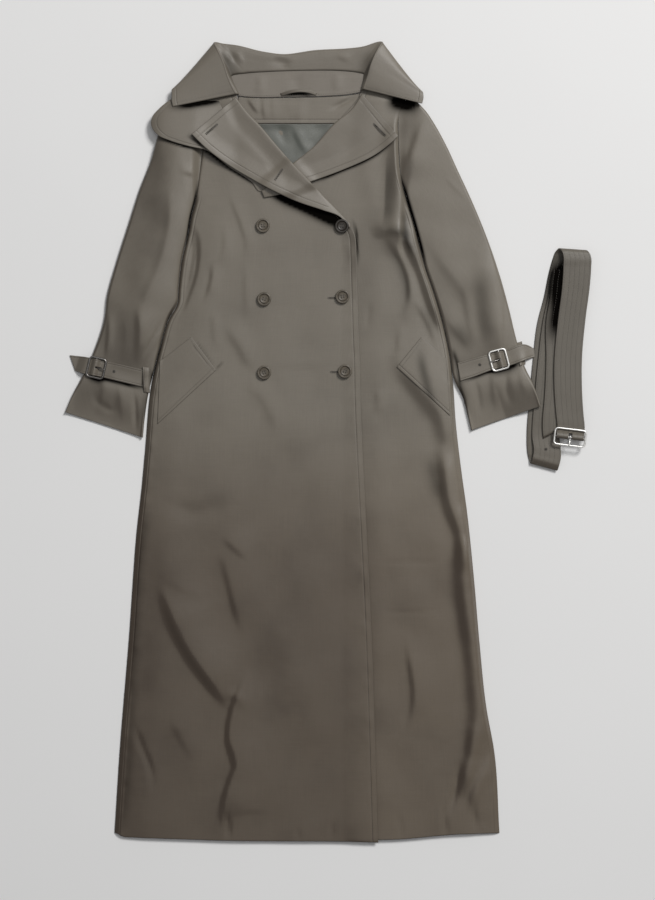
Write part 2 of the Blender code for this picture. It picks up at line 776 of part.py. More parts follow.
def build_sleeve(cloth, name, table, folds, outward):
    """A flattened tube from the armhole to the cuff, open at both ends."""
    rows = smooth_rows(table, SLEEVE_ROWS)
    gap = np.full(len(rows), UNDERARM_GAP)
    gap[0] = ARMHOLE_GAP
    rows[:, (0, 2)] += outward * gap[:, None]
    outer = sleeve_rings(rows, folds, 0.0)
    inner = sleeve_rings(rows, folds, CLOTH)
    add_tube(name, outer, inner, SHELL_CLOTH)
    first_upper = LOWER_POINTS + 2
    cloth.add(outer[:, first_upper:first_upper + UPPER_POINTS + 2])


def build_flap(cloth):
    plan = even_grid(GUN_FLAP, FLAP_CELLS)
    grid = with_height(plan, laid_on(cloth, plan))
    add_sheet("gun_flap", grid, SHELL_CLOTH)
    cloth.add(grid + (0.0, 0.0, CLOTH / 2))


def build_lapel(cloth, name, table):
    """A lapel turned back on its front, rounded along the roll."""
    rows = smooth_rows(table, LAPEL_ROWS)
    distances = spread(rows, ROLL_REACH, LAPEL_COLUMNS)
    plan = across(rows, distances)
    full = smoothstep(distances[:, -1:] / LAPEL_FULL_WIDTH)
    rising = smoothstep(distances / ROLL_START)
    falling = smoothstep((ROLL_END - distances) / ROLL_FADE)
    grid = with_height(plan, laid_on(cloth, plan) + ROLL_HEIGHT * rising * falling * full)
    add_sheet(name, grid, SHELL_CLOTH)
    cloth.add(grid + (0.0, 0.0, CLOTH / 2))


def build_collar():
    stand_rows = tuple(
        Strip(row.start_x, row.start_y + SEAM_GAP, row.end_x, row.end_y) for row in NECK
    )
    plan = even_grid(stand_rows, STAND_CELLS)
    heights = np.linspace(STAND_LOW, STAND_HIGH, 3) + np.zeros(plan.shape[:2])
    add_sheet("collar_stand", with_height(plan, heights), SHELL_CLOTH)
    stations = smooth_spans(COLLAR_LEAF, 2)
    add_sheet("collar_leaf", np.array([leaf_profile(row) for row in stations]), SHELL_CLOTH)


def leaf_profile(row):
    """Points from the stand seam up to the fold and down to the outer edge of the leaf."""
    under = np.clip(row[8], 0.0, 1.0)
    over_stand = (1 - under) * (CLOTH + SEAM_GAP)
    seam = np.array([row[0], row[1] + SEAM_GAP, STAND_HIGH + over_stand])
    fold = np.array(row[2:5])
    edge = np.array(row[5:8])
    inward = (seam - fold) / np.linalg.norm((seam - fold)[:2])
    outward = (edge - fold) / np.linalg.norm((edge - fold)[:2])
    turn = min(FOLD_TURN, FOLD_TURN_SHARE * np.linalg.norm((seam - fold)[:2]))
    before = fold + inward * turn * (1, 1, 0)
    after = fold + outward * FOLD_TURN * (1, 1, 0)
    before[2] = fold[2] + under * FOLD_HALF_HEIGHT - (1 - under) * FALL_SHOULDER
    after[2] = fold[2] - under * FOLD_HALF_HEIGHT - (1 - under) * FALL_SHOULDER
    halfway = (seam + before) / 2 + (0.0, 0.0, LEAF_BULGE * under)
    outer = [after + (edge - after) * share for share in FALL_SHARES]
    shoulder = (FOLD_SHOULDER, FOLD_SHOULDER, FOLD_SHOULDER_RISE)
    near = fold + (before - fold) * shoulder
    far = fold + (after - fold) * shoulder
    profile = np.array([seam, halfway, before, near, fold, far, after, *outer])
    profile[:, 2] = np.maximum(profile[:, 2], CLOTH / 2)
    return profile


def build_hanger_loop():
    plan = even_grid(HANGER_LOOP, LOOP_CELLS)
    heights = np.full(plan.shape[:2], STAND_HIGH + CLOTH / 2 + SEAM_GAP + LOOP_REST)
    add_sheet("hanger_loop", with_height(plan, heights), SHELL_CLOTH, thick=LOOP_THICK)


def build_welt(cloth, name, table):
    plan = even_grid(table, WELT_CELLS)
    grid = with_height(plan, laid_on(cloth, plan, gap=SEAM_GAP))
    add_sheet(name, grid, SHELL_CLOTH)
    cloth.add(grid + (0.0, 0.0, CLOTH / 2))


def add_turned(name, profile, centre, sides, finish):
    """A solid turned about a vertical axis, from a profile that starts and ends on it."""
    points = [(centre[0], centre[1], centre[2] + profile[0][1])]
    for radius, height in profile[1:-1]:
        for side in range(sides):
            angle = 2 * math.pi * side / sides
            points.append((
                centre[0] + radius * math.cos(angle),
                centre[1] + radius * math.sin(angle),
                centre[2] + height,
            ))
    points.append((centre[0], centre[1], centre[2] + profile[-1][1]))
    rings = len(profile) - 2
    last = len(points) - 1
    faces = []
    for side in range(sides):
        following = (side + 1) % sides
        faces.append((0, 1 + following, 1 + side))
        for ring in range(rings - 1):
            low = 1 + ring * sides
            high = low + sides
            faces.append((low + side, low + following, high + following, high + side))
        top = 1 + (rings - 1) * sides
        faces.append((top + side, top + following, last))
    return add_object(name, points, faces, finish)


def build_buttons(cloth):
    """Flat buttons with a rounded rim round a sunk middle."""
    radius = BUTTON_DIAMETER / 2
    profile = (
        (0.0, 0.0),
        (radius - BUTTON_FOOT, 0.0),
        (radius, BUTTON_WIDEST),
        (radius - BUTTON_SHOULDER, BUTTON_THICK),
        (radius - BUTTON_RIM, BUTTON_THICK),
        (radius - BUTTON_WELL, BUTTON_THICK - BUTTON_SINK),
        (0.0, BUTTON_THICK - BUTTON_SINK),
    )
    for number, (x, y) in enumerate(BUTTONS, start=1):
        rest = cloth.under(np.array([[x, y]], dtype=float), radius, radius)[0]
        foot = rest + SEAM_GAP
        add_turned(f"button_{number}", profile, (x, y, foot), BUTTON_SIDES, BUTTON_RESIN)
        top = foot + BUTTON_THICK
        cloth.add(np.array([
            [(x - radius, y - radius, top), (x + radius, y - radius, top)],
            [(x - radius, y + radius, top), (x + radius, y + radius, top)],
        ]))


def wire_ring(path, radius, sides, closed):
    """Rings of points round a path that lies level."""
    path = np.array(path, dtype=float)
    if closed:
        ahead = np.roll(path, -1, axis=0) - np.roll(path, 1, axis=0)
    else:
        ahead = np.gradient(path, axis=0)
    ahead /= np.linalg.norm(ahead, axis=1, keepdims=True)
    sideways = np.cross(ahead, (0.0, 0.0, 1.0))
    sideways /= np.linalg.norm(sideways, axis=1, keepdims=True)
    upwards = np.cross(sideways, ahead)
    angles = 2 * math.pi * (np.arange(sides) + 0.5) / sides
    swing = sideways[:, None] * np.cos(angles)[:, None] + upwards[:, None] * np.sin(angles)[:, None]
    return path[:, None] + radius * swing


def wire_body(path, radius, sides=WIRE_SIDES, closed=True):
    """Points and faces of a wire along a path."""
    rings = wire_ring(path, radius, sides, closed)
    count = len(rings)
    faces = []
    for ring in range(count if closed else count - 1):
        low = ring * sides
        high = ((ring + 1) % count) * sides
        for side in range(sides):
            following = (side + 1) % sides
            faces.append((low + side, low + following, high + following, high + side))
    if not closed:
        faces.append(tuple(reversed(range(sides))))
        faces.append(tuple(range((count - 1) * sides, count * sides)))
    return rings.reshape(-1, 3), faces


def rounded_rectangle(half_x, half_y, corner):
    """Points round a level rectangle with round corners, about the origin."""
    points = []
    for quarter, (sign_x, sign_y) in enumerate(((1, 1), (-1, 1), (-1, -1), (1, -1))):
        for step in range(CORNER_STEPS + 1):
            angle = math.pi / 2 * (quarter + step / CORNER_STEPS)
            points.append((
                sign_x * (half_x - corner) + corner * math.cos(angle),
                sign_y * (half_y - corner) + corner * math.sin(angle),
                0.0,
            ))
    return points


def placed(points, centre, degrees):
    """Points turned about the vertical and moved to a centre."""
    angle = math.radians(degrees)
    turn = np.array([
        [math.cos(angle), math.sin(angle), 0.0],
        [-math.sin(angle), math.cos(angle), 0.0],
        [0.0, 0.0, 1.0],
    ])
    return np.asarray(points) @ turn + np.asarray(centre)


def join_solid(name, bodies, finish):
    """One body made by a Boolean union of several overlapping ones."""
    first = add_object(name, *bodies[0], finish)
    for number, (points, faces) in enumerate(bodies[1:], start=1):
        other = add_object(f"{name}_union_{number}", points, faces, finish)
        other.hide_render = True
        other.display_type = "WIRE"
        union = first.modifiers.new(f"union_{number}", "BOOLEAN")
        union.operation = "UNION"
        union.solver = "EXACT"
        union.object = other
    return first


def build_buckle(name, centre, degrees, size):
    """A frame of wire with a bar across it, its long side along local X."""
    half_x = size.wide / 2 - size.wire
    half_y = size.long / 2 - size.wire
    frame = rounded_rectangle(half_x, half_y, BUCKLE_CORNER)
    bar = [(x, size.bar_y, 0.0) for x in (-half_x, 0.0, half_x)]
    frame_points, frame_faces = wire_body(frame, size.wire)
    bar_points, bar_faces = wire_body(bar, BAR_RADIUS, closed=False)
    bodies = (
        (placed(frame_points, centre, degrees), frame_faces),
        (placed(bar_points, centre, degrees), bar_faces),
    )
    join_solid(name, bodies, BUCKLE_STEEL)


def build_cuff_strap(cloth, side, table, buckle, keeper):
    """The strap across a cuff, woven through its fastened buckle, and the keeper over it."""
    rows = smooth_rows(table, STRAP_ROWS)
    lengths = np.linalg.norm(rows[:, 2:4] - rows[:, 0:2], axis=1)
    half_slot = CUFF_SLOT / 2 / STRAP_WIDE
    share = np.array([0.0, 0.5 - half_slot, 0.5 + half_slot, 1.0])
    plan = across(rows, lengths[:, None] * share)
    centre = np.array([buckle.centre_x, buckle.centre_y], dtype=float)
    rest = cloth.under(centre[None], CUFF_REACH_X, CUFF_REACH_Y)[0]
    level = rest + STRAP_REST + STRAP_THICK / 2
    angle = math.radians(buckle.slope)
    heading = buckle.pull * np.array([math.cos(angle), math.sin(angle)])
    along = (plan - centre) @ heading
    bulge = smoothstep(1 - np.abs(along - CUFF_BAR_OFFSET) / CUFF_WEAVE_HALF)
    over_bar = STRAP_THICK + 4 * SEAM_GAP + CUFF_WIRE + BAR_RADIUS
    grid = with_height(plan, level + bulge * over_bar)
    middles = (along[1:, 1] + along[:-1, 1]) / 2
    kept = np.ones((len(plan) - 1, len(share) - 1), dtype=bool)
    kept[(middles > CUFF_SLOT_START) & (middles < CUFF_SLOT_END), 1] = False
    add_sheet(f"cuff_strap_{side}", grid, SHELL_CLOTH, thick=STRAP_THICK, kept=kept)
    cloth.add(grid + (0.0, 0.0, STRAP_THICK / 2))
    frame_z = level + STRAP_THICK / 2 + SEAM_GAP + CUFF_WIRE
    place = (buckle.centre_x, buckle.centre_y, frame_z)
    turn = buckle.slope - 90 * buckle.pull
    build_buckle(f"cuff_buckle_{side}", place, turn, CUFF_FRAME)
    build_cuff_prong(f"cuff_prong_{side}", place, turn)
    keeper_plan = even_grid(keeper, KEEPER_CELLS)
    keeper_grid = with_height(keeper_plan, laid_on(cloth, keeper_plan, gap=SEAM_GAP))
    add_sheet(f"cuff_keeper_{side}", keeper_grid, SHELL_CLOTH)


def build_cuff_prong(name, place, turn):
    """A prong from beside the bar, up over the far side of the frame."""
    start = CUFF_BAR_OFFSET + BAR_RADIUS + SEAM_GAP + PRONG_RADIUS / 2
    rest = CUFF_WIRE + SEAM_GAP + PRONG_RADIUS
    reach = CUFF_BUCKLE_LONG / 2
    rod = [(0.0, start, 0.0)]
    rod += [(0.0, reach * share, rest * rise) for share, rise in CUFF_PRONG_BENDS]
    points, faces = wire_body(rod, PRONG_RADIUS, closed=False)
    add_object(name, placed(points, place, turn), faces, BUCKLE_STEEL)


def build_belt():
    """The folded belt, slotted for its prong where it turns round the bar of its buckle."""
    stations = smooth_spans(BELT, 2)
    half_slot = PRONG_SLOT / BELT_WIDE / 2
    share = np.array([-0.5, -half_slot, half_slot, 0.5])
    tilt = np.radians(stations[:, 3:4])
    plan_x = stations[:, 0:1] + BELT_WIDE * share * np.cos(tilt)
    plan_y = stations[:, 1:2] + BELT_WIDE * share * np.sin(tilt)
    height = stations[:, 2:3] + np.zeros_like(plan_x)
    kept = np.ones((len(stations) - 1, len(share) - 1), dtype=bool)
    middles = (stations[1:, 1:3] + stations[:-1, 1:3]) / 2
    from_bar = np.linalg.norm(middles - np.array(BELT_BUCKLE_CENTRE[1:]), axis=1)
    kept[from_bar < SLOT_REACH, 1] = False
    grid = np.stack([plan_x, plan_y, height], axis=2)
    add_sheet("belt", grid, SHELL_CLOTH, thick=BELT_THICK, kept=kept)
    build_buckle("belt_buckle", BELT_BUCKLE_CENTRE, BELT_TILT, BELT_FRAME)
    build_belt_prong()


def build_belt_prong():
    """The prong, turning on the bar by its eye, with its tip on the far side of the frame."""
    reach = BELT_BUCKLE_LONG / 2
    rest = BELT_WIRE + SEAM_GAP + PRONG_RADIUS
    rod = [(0.0, -EYE_RADIUS, EYE_RISE)]
    rod += [(0.0, -reach * share, rest * rise) for share, rise in BELT_PRONG_BENDS]
    eye_points, eye_faces = eye_ring()
    rod_points, rod_faces = wire_body(rod, PRONG_RADIUS, closed=False)
    prong = join_solid(
        "belt_prong", ((eye_points, eye_faces), (rod_points, rod_faces)), BUCKLE_STEEL
    )
    prong.location = Vector(BELT_BUCKLE_CENTRE) * MM
    prong.rotation_euler = (0.0, 0.0, math.radians(BELT_TILT))
    for modifier in prong.modifiers:
        modifier.object.parent = prong


def eye_ring():
    """A ring of wire round the bar, which lies along local X."""
    points = []
    for step in range(EYE_SIDES):
        turn = 2 * math.pi * step / EYE_SIDES
        outward = np.array([0.0, math.cos(turn), math.sin(turn)])
        for side in range(WIRE_SIDES):
            angle = 2 * math.pi * (side + 0.5) / WIRE_SIDES
            swing = math.cos(angle) * outward + math.sin(angle) * np.array([1.0, 0.0, 0.0])
            points.append(EYE_RADIUS * outward + PRONG_RADIUS * swing)
    faces = [
        (low * WIRE_SIDES + side, low * WIRE_SIDES + after,
         high * WIRE_SIDES + after, high * WIRE_SIDES + side)
        for low, high in ((step, (step + 1) % EYE_SIDES) for step in range(EYE_SIDES))
        for side, after in ((side, (side + 1) % WIRE_SIDES) for side in range(WIRE_SIDES))
    ]
    return np.array(points), faces


def main():
    clear_scene()
    cloth = Heights()
    build_back(cloth)
    build_neck_inside(cloth)
    build_front(cloth, "front_left", FRONT_LEFT, FOLDS_LEFT, ARMHOLE_LEFT_Y)
    build_front(cloth, "front_right", FRONT_RIGHT, FOLDS_RIGHT, ARMHOLE_RIGHT_Y)
    build_sleeve(cloth, "sleeve_right", SLEEVE_RIGHT, FOLDS_SLEEVE_RIGHT, -1)
    build_sleeve(cloth, "sleeve_left", SLEEVE_LEFT, FOLDS_SLEEVE_LEFT, 1)
    build_flap(cloth)
    build_welt(cloth, "pocket_welt_right", WELT_RIGHT)
    build_welt(cloth, "pocket_welt_left", WELT_LEFT)
    build_buttons(cloth)
    build_lapel(cloth, "lapel_left", LAPEL_LEFT)
    build_lapel(cloth, "lapel_right", LAPEL_RIGHT)
    build_collar()
    build_hanger_loop()
    build_cuff_strap(cloth, "right", STRAP_RIGHT, CUFF_BUCKLE_RIGHT, KEEPER_RIGHT)
    build_cuff_strap(cloth, "left", STRAP_LEFT, CUFF_BUCKLE_LEFT, KEEPER_LEFT)
    build_belt()


main()
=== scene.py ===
import json
import math
from collections import namedtuple

import bpy
import numpy as np
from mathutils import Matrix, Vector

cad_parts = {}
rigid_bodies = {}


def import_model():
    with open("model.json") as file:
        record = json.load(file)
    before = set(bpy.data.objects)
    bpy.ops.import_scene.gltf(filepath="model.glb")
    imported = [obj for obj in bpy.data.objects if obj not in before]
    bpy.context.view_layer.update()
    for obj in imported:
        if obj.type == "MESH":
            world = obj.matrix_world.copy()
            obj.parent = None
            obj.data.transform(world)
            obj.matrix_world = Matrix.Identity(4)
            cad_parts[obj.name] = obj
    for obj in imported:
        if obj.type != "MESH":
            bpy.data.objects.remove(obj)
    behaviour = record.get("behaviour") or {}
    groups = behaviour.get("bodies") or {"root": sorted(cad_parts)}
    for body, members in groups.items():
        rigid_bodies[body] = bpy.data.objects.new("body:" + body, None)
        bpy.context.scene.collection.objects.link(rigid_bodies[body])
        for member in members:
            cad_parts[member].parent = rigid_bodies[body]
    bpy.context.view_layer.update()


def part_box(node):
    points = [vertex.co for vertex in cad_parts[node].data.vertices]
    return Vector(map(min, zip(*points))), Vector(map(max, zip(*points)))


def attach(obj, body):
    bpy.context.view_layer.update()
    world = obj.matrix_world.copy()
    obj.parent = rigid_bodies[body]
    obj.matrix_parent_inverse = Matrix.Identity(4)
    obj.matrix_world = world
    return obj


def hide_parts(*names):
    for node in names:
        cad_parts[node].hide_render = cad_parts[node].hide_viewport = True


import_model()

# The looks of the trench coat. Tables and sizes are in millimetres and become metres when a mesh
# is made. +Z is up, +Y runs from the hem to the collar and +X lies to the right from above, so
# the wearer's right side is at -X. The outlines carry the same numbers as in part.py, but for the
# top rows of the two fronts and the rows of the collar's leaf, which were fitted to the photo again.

MM = 0.001

# The picture: its size in pixels, millimetres to a pixel, and the pixel over the origin
PICTURE = (655.0, 900.0)
PIXEL = 1.65
ORIGIN_PIXEL = (328.5, 442.5)
CAMERA_UP = 4.0
SENSOR = 36.0

# Cloth in layers: its thickness, the gap between two, its rounded rim, and painted shade along it
CLOTH = 1.2
FOLDED_THICK = 1.4
LINING_THICK = 0.8
WELT_THICK = 0.9
STRAP_THICK = 1.8
BELT_THICK = 2.2
LAY_GAP = 0.3
RIM_RADIUS = 0.9
RIM_LEFT = 0.15
RIM_SHADE_REACH = 1.2
LINE_LEAST = 0.15

# Stitching: lines are this far from their edge
STITCH_LINE = 9.5
SIDE_SEAM = 8.2
FACING_LINE = 6.6
WELT_LINE = 5.6
LEAF_LINE = 8.0
STRAP_LINE = 3.0
KEEPER_LINE = 2.0
STITCH_WIDTH = 0.6
STITCH_DEPTH = 0.3
SOFT_DEPTH = 0.25
FINE_DEPTH = 0.2
STITCH_PITCH = 3.9
STITCH_LONG = 3.0
THREAD = 0.36

# Places of points in from an edge: close ones round its rim and at its stitching
EDGE = (0.0, 0.35, 0.9, 1.8, 3.2)
STITCHED = (0.0, 0.35, 0.9, 1.8, 3.2, 6.4, 8.0, 8.9, STITCH_LINE, 10.1, 11.0, 12.8)
SEAMED = (0.0, 0.4, 1.0, 2.0, 3.2, 4.6, 6.0, 7.1, 7.8, SIDE_SEAM, 8.6, 9.3, 11.0, 14.0)
FACED = (0.0, 0.35, 0.9, 1.8, 3.2, 5.0, 6.0, FACING_LINE, 7.2, 8.2)
WELTED = (0.0, 0.35, 0.9, 1.8, 3.2, 4.6, 5.2, WELT_LINE, 6.0, 7.0)
STRAPPED = (0.0, 0.35, 0.9, 1.8, 2.6, STRAP_LINE, 3.4, 4.2)
KEEPING = (0.0, 0.35, 0.9, 1.6, KEEPER_LINE, 2.4)
LOOPED = (0.0, 0.3, 0.8)
LEAF_ENDS = (12.0, 10.2, 9.0, 8.4, LEAF_LINE, 7.6, 7.0, 5.5, 3.2, 1.8, 0.9, 0.35, 0.0)
STITCH_COLUMN = STITCHED.index(STITCH_LINE)
STEP = 4.6
TABLE_PARTS = 8
SIDE_PARTS = 12

# Creases reach this many widths to their sides, and taper off over part of their length
CREASE_REACH = 3
TAPER_MOST = 0.4
TAPER_LENGTH = 40.0
TAPER_WIDTHS = 0.8

# The fronts: their turned sides, the seams of their armholes, their hems and shoulders
SIDE_RISE = 3.7
SIDE_RADIUS = 11.0
SIDE_TIGHTER = 5.0
SIDE_POWER = 1.9
SEAM_DROP = 1.6
SEAM_RADIUS = 3.0
BODY_RISE = 2.4
BODY_REACH = 60.0
ARMHOLE_REACH = 12.0
HEM_Y = -660.0
HEM_REACH = 160.0
SHOULDER_Y = 562.0
SHOULDER_DROP = 2.6
SHOULDER_SLOPE = 18.0
COVERED_X = 92.0
COVERED_SLOPE = 60.0
TIGHT_FROM_Y = 60.0
TIGHT_SLOPE = 80.0
CALM_SIDE = 7.0
CALM_EDGE = 12.0
PUCKER_EDGE = 7.0
PUCKER_SIDE = 9.0
SEAM_WIDTH = 0.5

# The back: its columns are shares of its width from, to and how many
BACK_LOW_Y = -641.0
BACK_LENGTH = 1195.0
BACK_STEP = 9.0
BACK_INSET = 4.5
BACK_CORNER = 0.17
BACK_HEM_DIP = 9.0
BACK_HEM_FROM = 541.0
BACK_HEM_SLOPE = 100.0
BACK_NECK_RISE = 14.0
BACK_NECK_FROM = 500.0
BACK_NECK_SLOPE = 54.0
BACK_SEAM_WIDTH = 1.3
BACK_SEAM_RISE = 0.35
BACK_COLUMNS = ((0, 0.02, 4), (0.02, 0.49, 24), (0.49, 0.51, 7), (0.51, 0.98, 24), (0.98, 1.0, 4))

# The neck: the facing and the collar's stand both stop this short of the seam between them
NECK_SEAM = 0.3
LOOP_Z = 5.2
LOOP_RISE = 4.6
STAND_LOW_Z = 4.4
STAND_HIGH_Z = 4.9
LEAF_SEAM_Z = 6.0
LEAF_SEAM_SHORT = 0.6
LEAF_TURN = 2.6
LEAF_TURN_UNDER = 4.4
LEAF_TURN_MOST = 0.45
LEAF_AFTER = 3.5
LEAF_PARTS = 9
LEAF_INNER = 15
LEAF_BEND = 13
LEAF_OUTER = 22
LEAF_FALLS = (slice(None, 55), slice(-55, None))
LEAF_END_ROWS = (5, -6)
FOLD_DROP = 2.8

# The lapels: the radius of a roll, how they fall and lift from it, and degrees round it from below
LAPEL_ROLL = 1.2
LAPEL_LEAST_ROLL = 0.5
LAPEL_START = (0.0, 1.5, 3.2)
LAPEL_STEP = 3.0
LAPEL_FALL = 70.0
LAPEL_LIFT_REACH = 34.0
LAPEL_LONG = 26.0
LAPEL_FULL = 46.0
ROLL_TURNS = (-80.0, -55.0, -30.0, -10.0, 10.0, 30.0, 52.0, 74.0)

# The sleeves: how many points of a ring lie below and on top, how tall they are, and their cuffs
SLEEVE_LOW = 14
SLEEVE_HIGH = 60
SLEEVE_SEEN = slice(17, 79)
SIDE_TURNS = (-64.0, 64.0, 7)
SLEEVE_START = (0.0, 0.6, 1.6, 3.2, 6.0, 10.0)
SLEEVE_END = (0.0, 0.5, 1.3, 2.6, 5.0)
SLEEVE_TALL = 4.4
SLEEVE_TALLER = 2.6
SLEEVE_TALLER_BY = 40.0
SLEEVE_LEVEL = 14.0
SLEEVE_ARCH = 1.4
SLEEVE_LEAST = 1.5
SLEEVE_OUTWARD = 0.4
CUFF_PART = 170.0
CUFF_SINK = 6.0
CUFF_FROM = 66.0
CUFF_OVER = 72.0
CUFF_LIFT_REACH = 60.0
CUFF_STEP = 3.4
SLEEVE_STEP = 6.4
STRAP_CALM = 0.6
STRAP_SINK = 0.8
STRAP_RISE = 5.5

# The buttons: a profile from below up, a drill for the holes, and the thread through them
BUTTON_PROFILE = (
    (0, 0), (8.5, 0), (10.3, 0.35), (11.2, 1.0), (11.5, 1.8), (11.3, 2.7), (10.7, 3.3), (9.8, 3.5),
    (8.9, 3.3), (8.5, 2.6), (8.2, 1.4), (7.6, 1.1), (7.1, 1.4), (6.8, 2.2), (6.2, 2.6), (5.4, 2.4),
    (3.6, 2.0), (0, 2.0),
)
BUTTON_DRILL = ((0, -1), (1.05, -1), (1.05, 5), (0, 5))
BUTTON_HOLE_AT = 1.9
BUTTON_STANDOFF = 1.8
BUTTON_TURNS = (8.0, -14.0, 20.0, -6.0, 12.0, -22.0)
BUTTON_IN_SHADE = 4
BUTTON_BAR = ((-2.4, 1.8), (-1.5, 2.3), (0, 2.5), (1.5, 2.3), (2.4, 1.8))
BUTTON_SHANK = ((0, 0, -2.4), (0, 0.01, -1.0), (0, 0, 0.3))

# Radii of wires, threads and eyelets, and half the widths of a buttonhole and of its slit
PRONG_RADIUS = 1.0
BAR_RADIUS = 1.3
EYE_RADIUS = 2.8
SHANK_RADIUS = 1.4
HOLE_THREAD = 0.5
BUTTON_THREAD = 0.45
EYELET_RADIUS = 2.2
HOLE_HALF = 1.25
SLIT_HALF = 0.35
SLIT_SHORTER = 2.0

# The cuffs' straps: their way through the buckle, over its bar, and the slot for its prong
BUCKLE_GAP = 0.3
CUFF_FRAME_HALF = 1.2
CUFF_WEAVE_HALF = 8.3
STRAP_FAR = 15.0
STRAP_FAR_SLOPE = 20.0
CUFF_SLOT_START = -1.5
CUFF_SLOT_END = 8.0
CUFF_SLOT_HALF = 2.0

# The belt across: half its width, its lines of stitching and its slot for the prong
BELT_HALF = 23.0
BELT_LINES = (-20.0, -12.0, -4.0, 4.0, 12.0, 20.0)
BELT_LINE_SIDES = (-1.6, -0.7, 0.0, 0.7, 1.6)
SLOT_HALF = 2.8

Front = namedtuple("Front", "side_x side_y edge_x edge_y")
Sleeve = namedtuple("Sleeve", "outer_x outer_y inner_x inner_y bow lift", defaults=(0, 0))
Strip = namedtuple("Strip", "start_x start_y end_x end_y")
Leaf = namedtuple("Leaf", "seam_x seam_y fold_x fold_y fold_z edge_x edge_y edge_z under")
Pass = namedtuple("Pass", "centre_x centre_y centre_z tilt")
Buckle = namedtuple("Buckle", "centre_x centre_y slope pull")
# A crease runs down the coat, with a width to the left and to the right of one who walks along it
Crease = namedtuple("Crease", "height left right points")
Hole = namedtuple("Hole", "x y degrees length")
Cut = namedtuple("Cut", "node width length area held rests_on")
Hem = namedtuple("Hem", "start rising end falling drop")
FrontPlan = namedtuple("FrontPlan", "node table creases armhole_y seed reach hem covered")
SleevePlan = namedtuple("SleevePlan", "node table creases pressed outward seed front")
BuckleSize = namedtuple("BuckleSize", "long wide radius bar_y")
Weave = namedtuple("Weave", "name lit shaded pitch roughness sheen fine swing")
Light = namedtuple("Light", "name place size power colour")
Waves = namedtuple("Waves", "height shortest longest")

# Low waves that lie over whole pieces, and the finer puckers along stitching and seams
WAVE_COUNT = 9
BODY_WAVES = Waves(0.35, 70.0, 220.0)
SLEEVE_WAVES = Waves(0.35, 50.0, 150.0)
LAPEL_WAVES = Waves(0.3, 40.0, 100.0)
FLAP_WAVES = Waves(0.25, 40.0, 90.0)
LINING_WAVES = Waves(0.3, 25.0, 60.0)
EDGE_PUCKER = Waves(0.16, 16.0, 40.0)
SIDE_PUCKER = Waves(0.15, 18.0, 50.0)

# Rows run from the hem to the shoulder
FRONT_RIGHT = (
    Front(-353, -644, 82, -659),
    Front(-344, -504, 78, -516),
    Front(-329, -321, 72, -330),
    Front(-316, -143, 64, -160),
    Front(-308, -72, 60, -80),
    Front(-302, -6, 56, 0),
    Front(-295, 75, 53, 75),
    Front(-288, 116, 52, 130),
    Front(-277, 158, 50, 175),
    Front(-265, 199, 49, 212),
    Front(-249, 229, 48, 245),
    Front(-247, 252, 47, 272),
    Front(-242, 298, 46, 310),
    Front(-233, 337, 42, 345),
    Front(-227, 370, 22, 373),
    Front(-219, 400, -4, 400),
    Front(-213, 440, -38, 436),
    Front(-208, 480, -72, 473),
    Front(-206, 520, -110, 519),
    Front(-205, 553, -150, 568),
    Front(-204, 574, -150, 588),
)
FRONT_LEFT = (
    Front(282, -644, -139, -654),
    Front(273, -507, -139, -516),
    Front(261, -441, -138, -450),
    Front(249, -329, -138, -330),
    Front(240, -225, -137, -225),
    Front(228, -110, -137, -110),
    Front(220, -53, -136, -40),
    Front(210, 32, -136, 40),
    Front(205, 103, -135, 110),
    Front(199, 149, -135, 160),
    Front(185, 210, -135, 215),
    Front(172, 253, -135, 262),
    Front(161, 285, -136, 300),
    Front(151, 323, -136, 345),
    Front(142, 357, -134, 380),
    Front(129, 401, -110, 414),
    Front(119, 440, -80, 440),
    Front(116, 470, -46, 468),
    Front(115, 503, -12, 500),
    Front(115, 533, 22, 537),
    Front(125, 562, 52, 575),
    Front(135, 580, 54, 592),
)
SLEEVE_RIGHT = (
    Sleeve(-205.3, 553, -219, 400, -3.6),
    Sleeve(-233, 560, -223, 385),
    Sleeve(-258, 549, -227, 370),
    Sleeve(-276, 519, -233, 337),
    Sleeve(-293, 463, -242, 298),
    Sleeve(-311, 417, -247, 262),
    Sleeve(-328, 364, -252, 230),
    Sleeve(-349, 298, -266, 201),
    Sleeve(-365, 240, -277, 170),
    Sleeve(-369, 205, -286, 145),
    Sleeve(-387, 149, -292, 110),
    Sleeve(-406, 108, -298, 75),
    Sleeve(-422, 78, -303, 40),
    Sleeve(-434, 50, -306, 8),
)
SLEEVE_LEFT = (
    Sleeve(114.9, 556, 119.0, 440, 1.8),
    Sleeve(136, 567, 125, 418),
    Sleeve(156, 551, 129, 401),
    Sleeve(175, 524, 136, 378),
    Sleeve(193, 491, 142, 357),
    Sleeve(212, 450, 151, 323),
    Sleeve(236, 398, 161, 285),
    Sleeve(258, 345, 172, 253),
    Sleeve(283, 272, 185, 210),
    Sleeve(298, 217, 194, 174),
    Sleeve(308, 175, 200, 146),
    Sleeve(322, 128, 212, 108),
    Sleeve(337, 95, 224, 66, 0, 5.6),
    Sleeve(349, 60, 235, 20, 0, 7.6),
)
GUN_FLAP = (
    Strip(-260, 565, -180, 562),
    Strip(-277, 551, -176, 552),
    Strip(-291, 533, -172, 543),
    Strip(-291, 519, -169, 534),
    Strip(-279, 504, -166, 525),
    Strip(-261, 496, -161, 515),
    Strip(-227, 486, -152, 504),
    Strip(-203, 481, -142, 494),
    Strip(-163, 453, -122, 472),
    Strip(-126, 428, -104, 450),
    Strip(-113, 413, -94, 430),
    Strip(-97, 415, -88, 422),
)
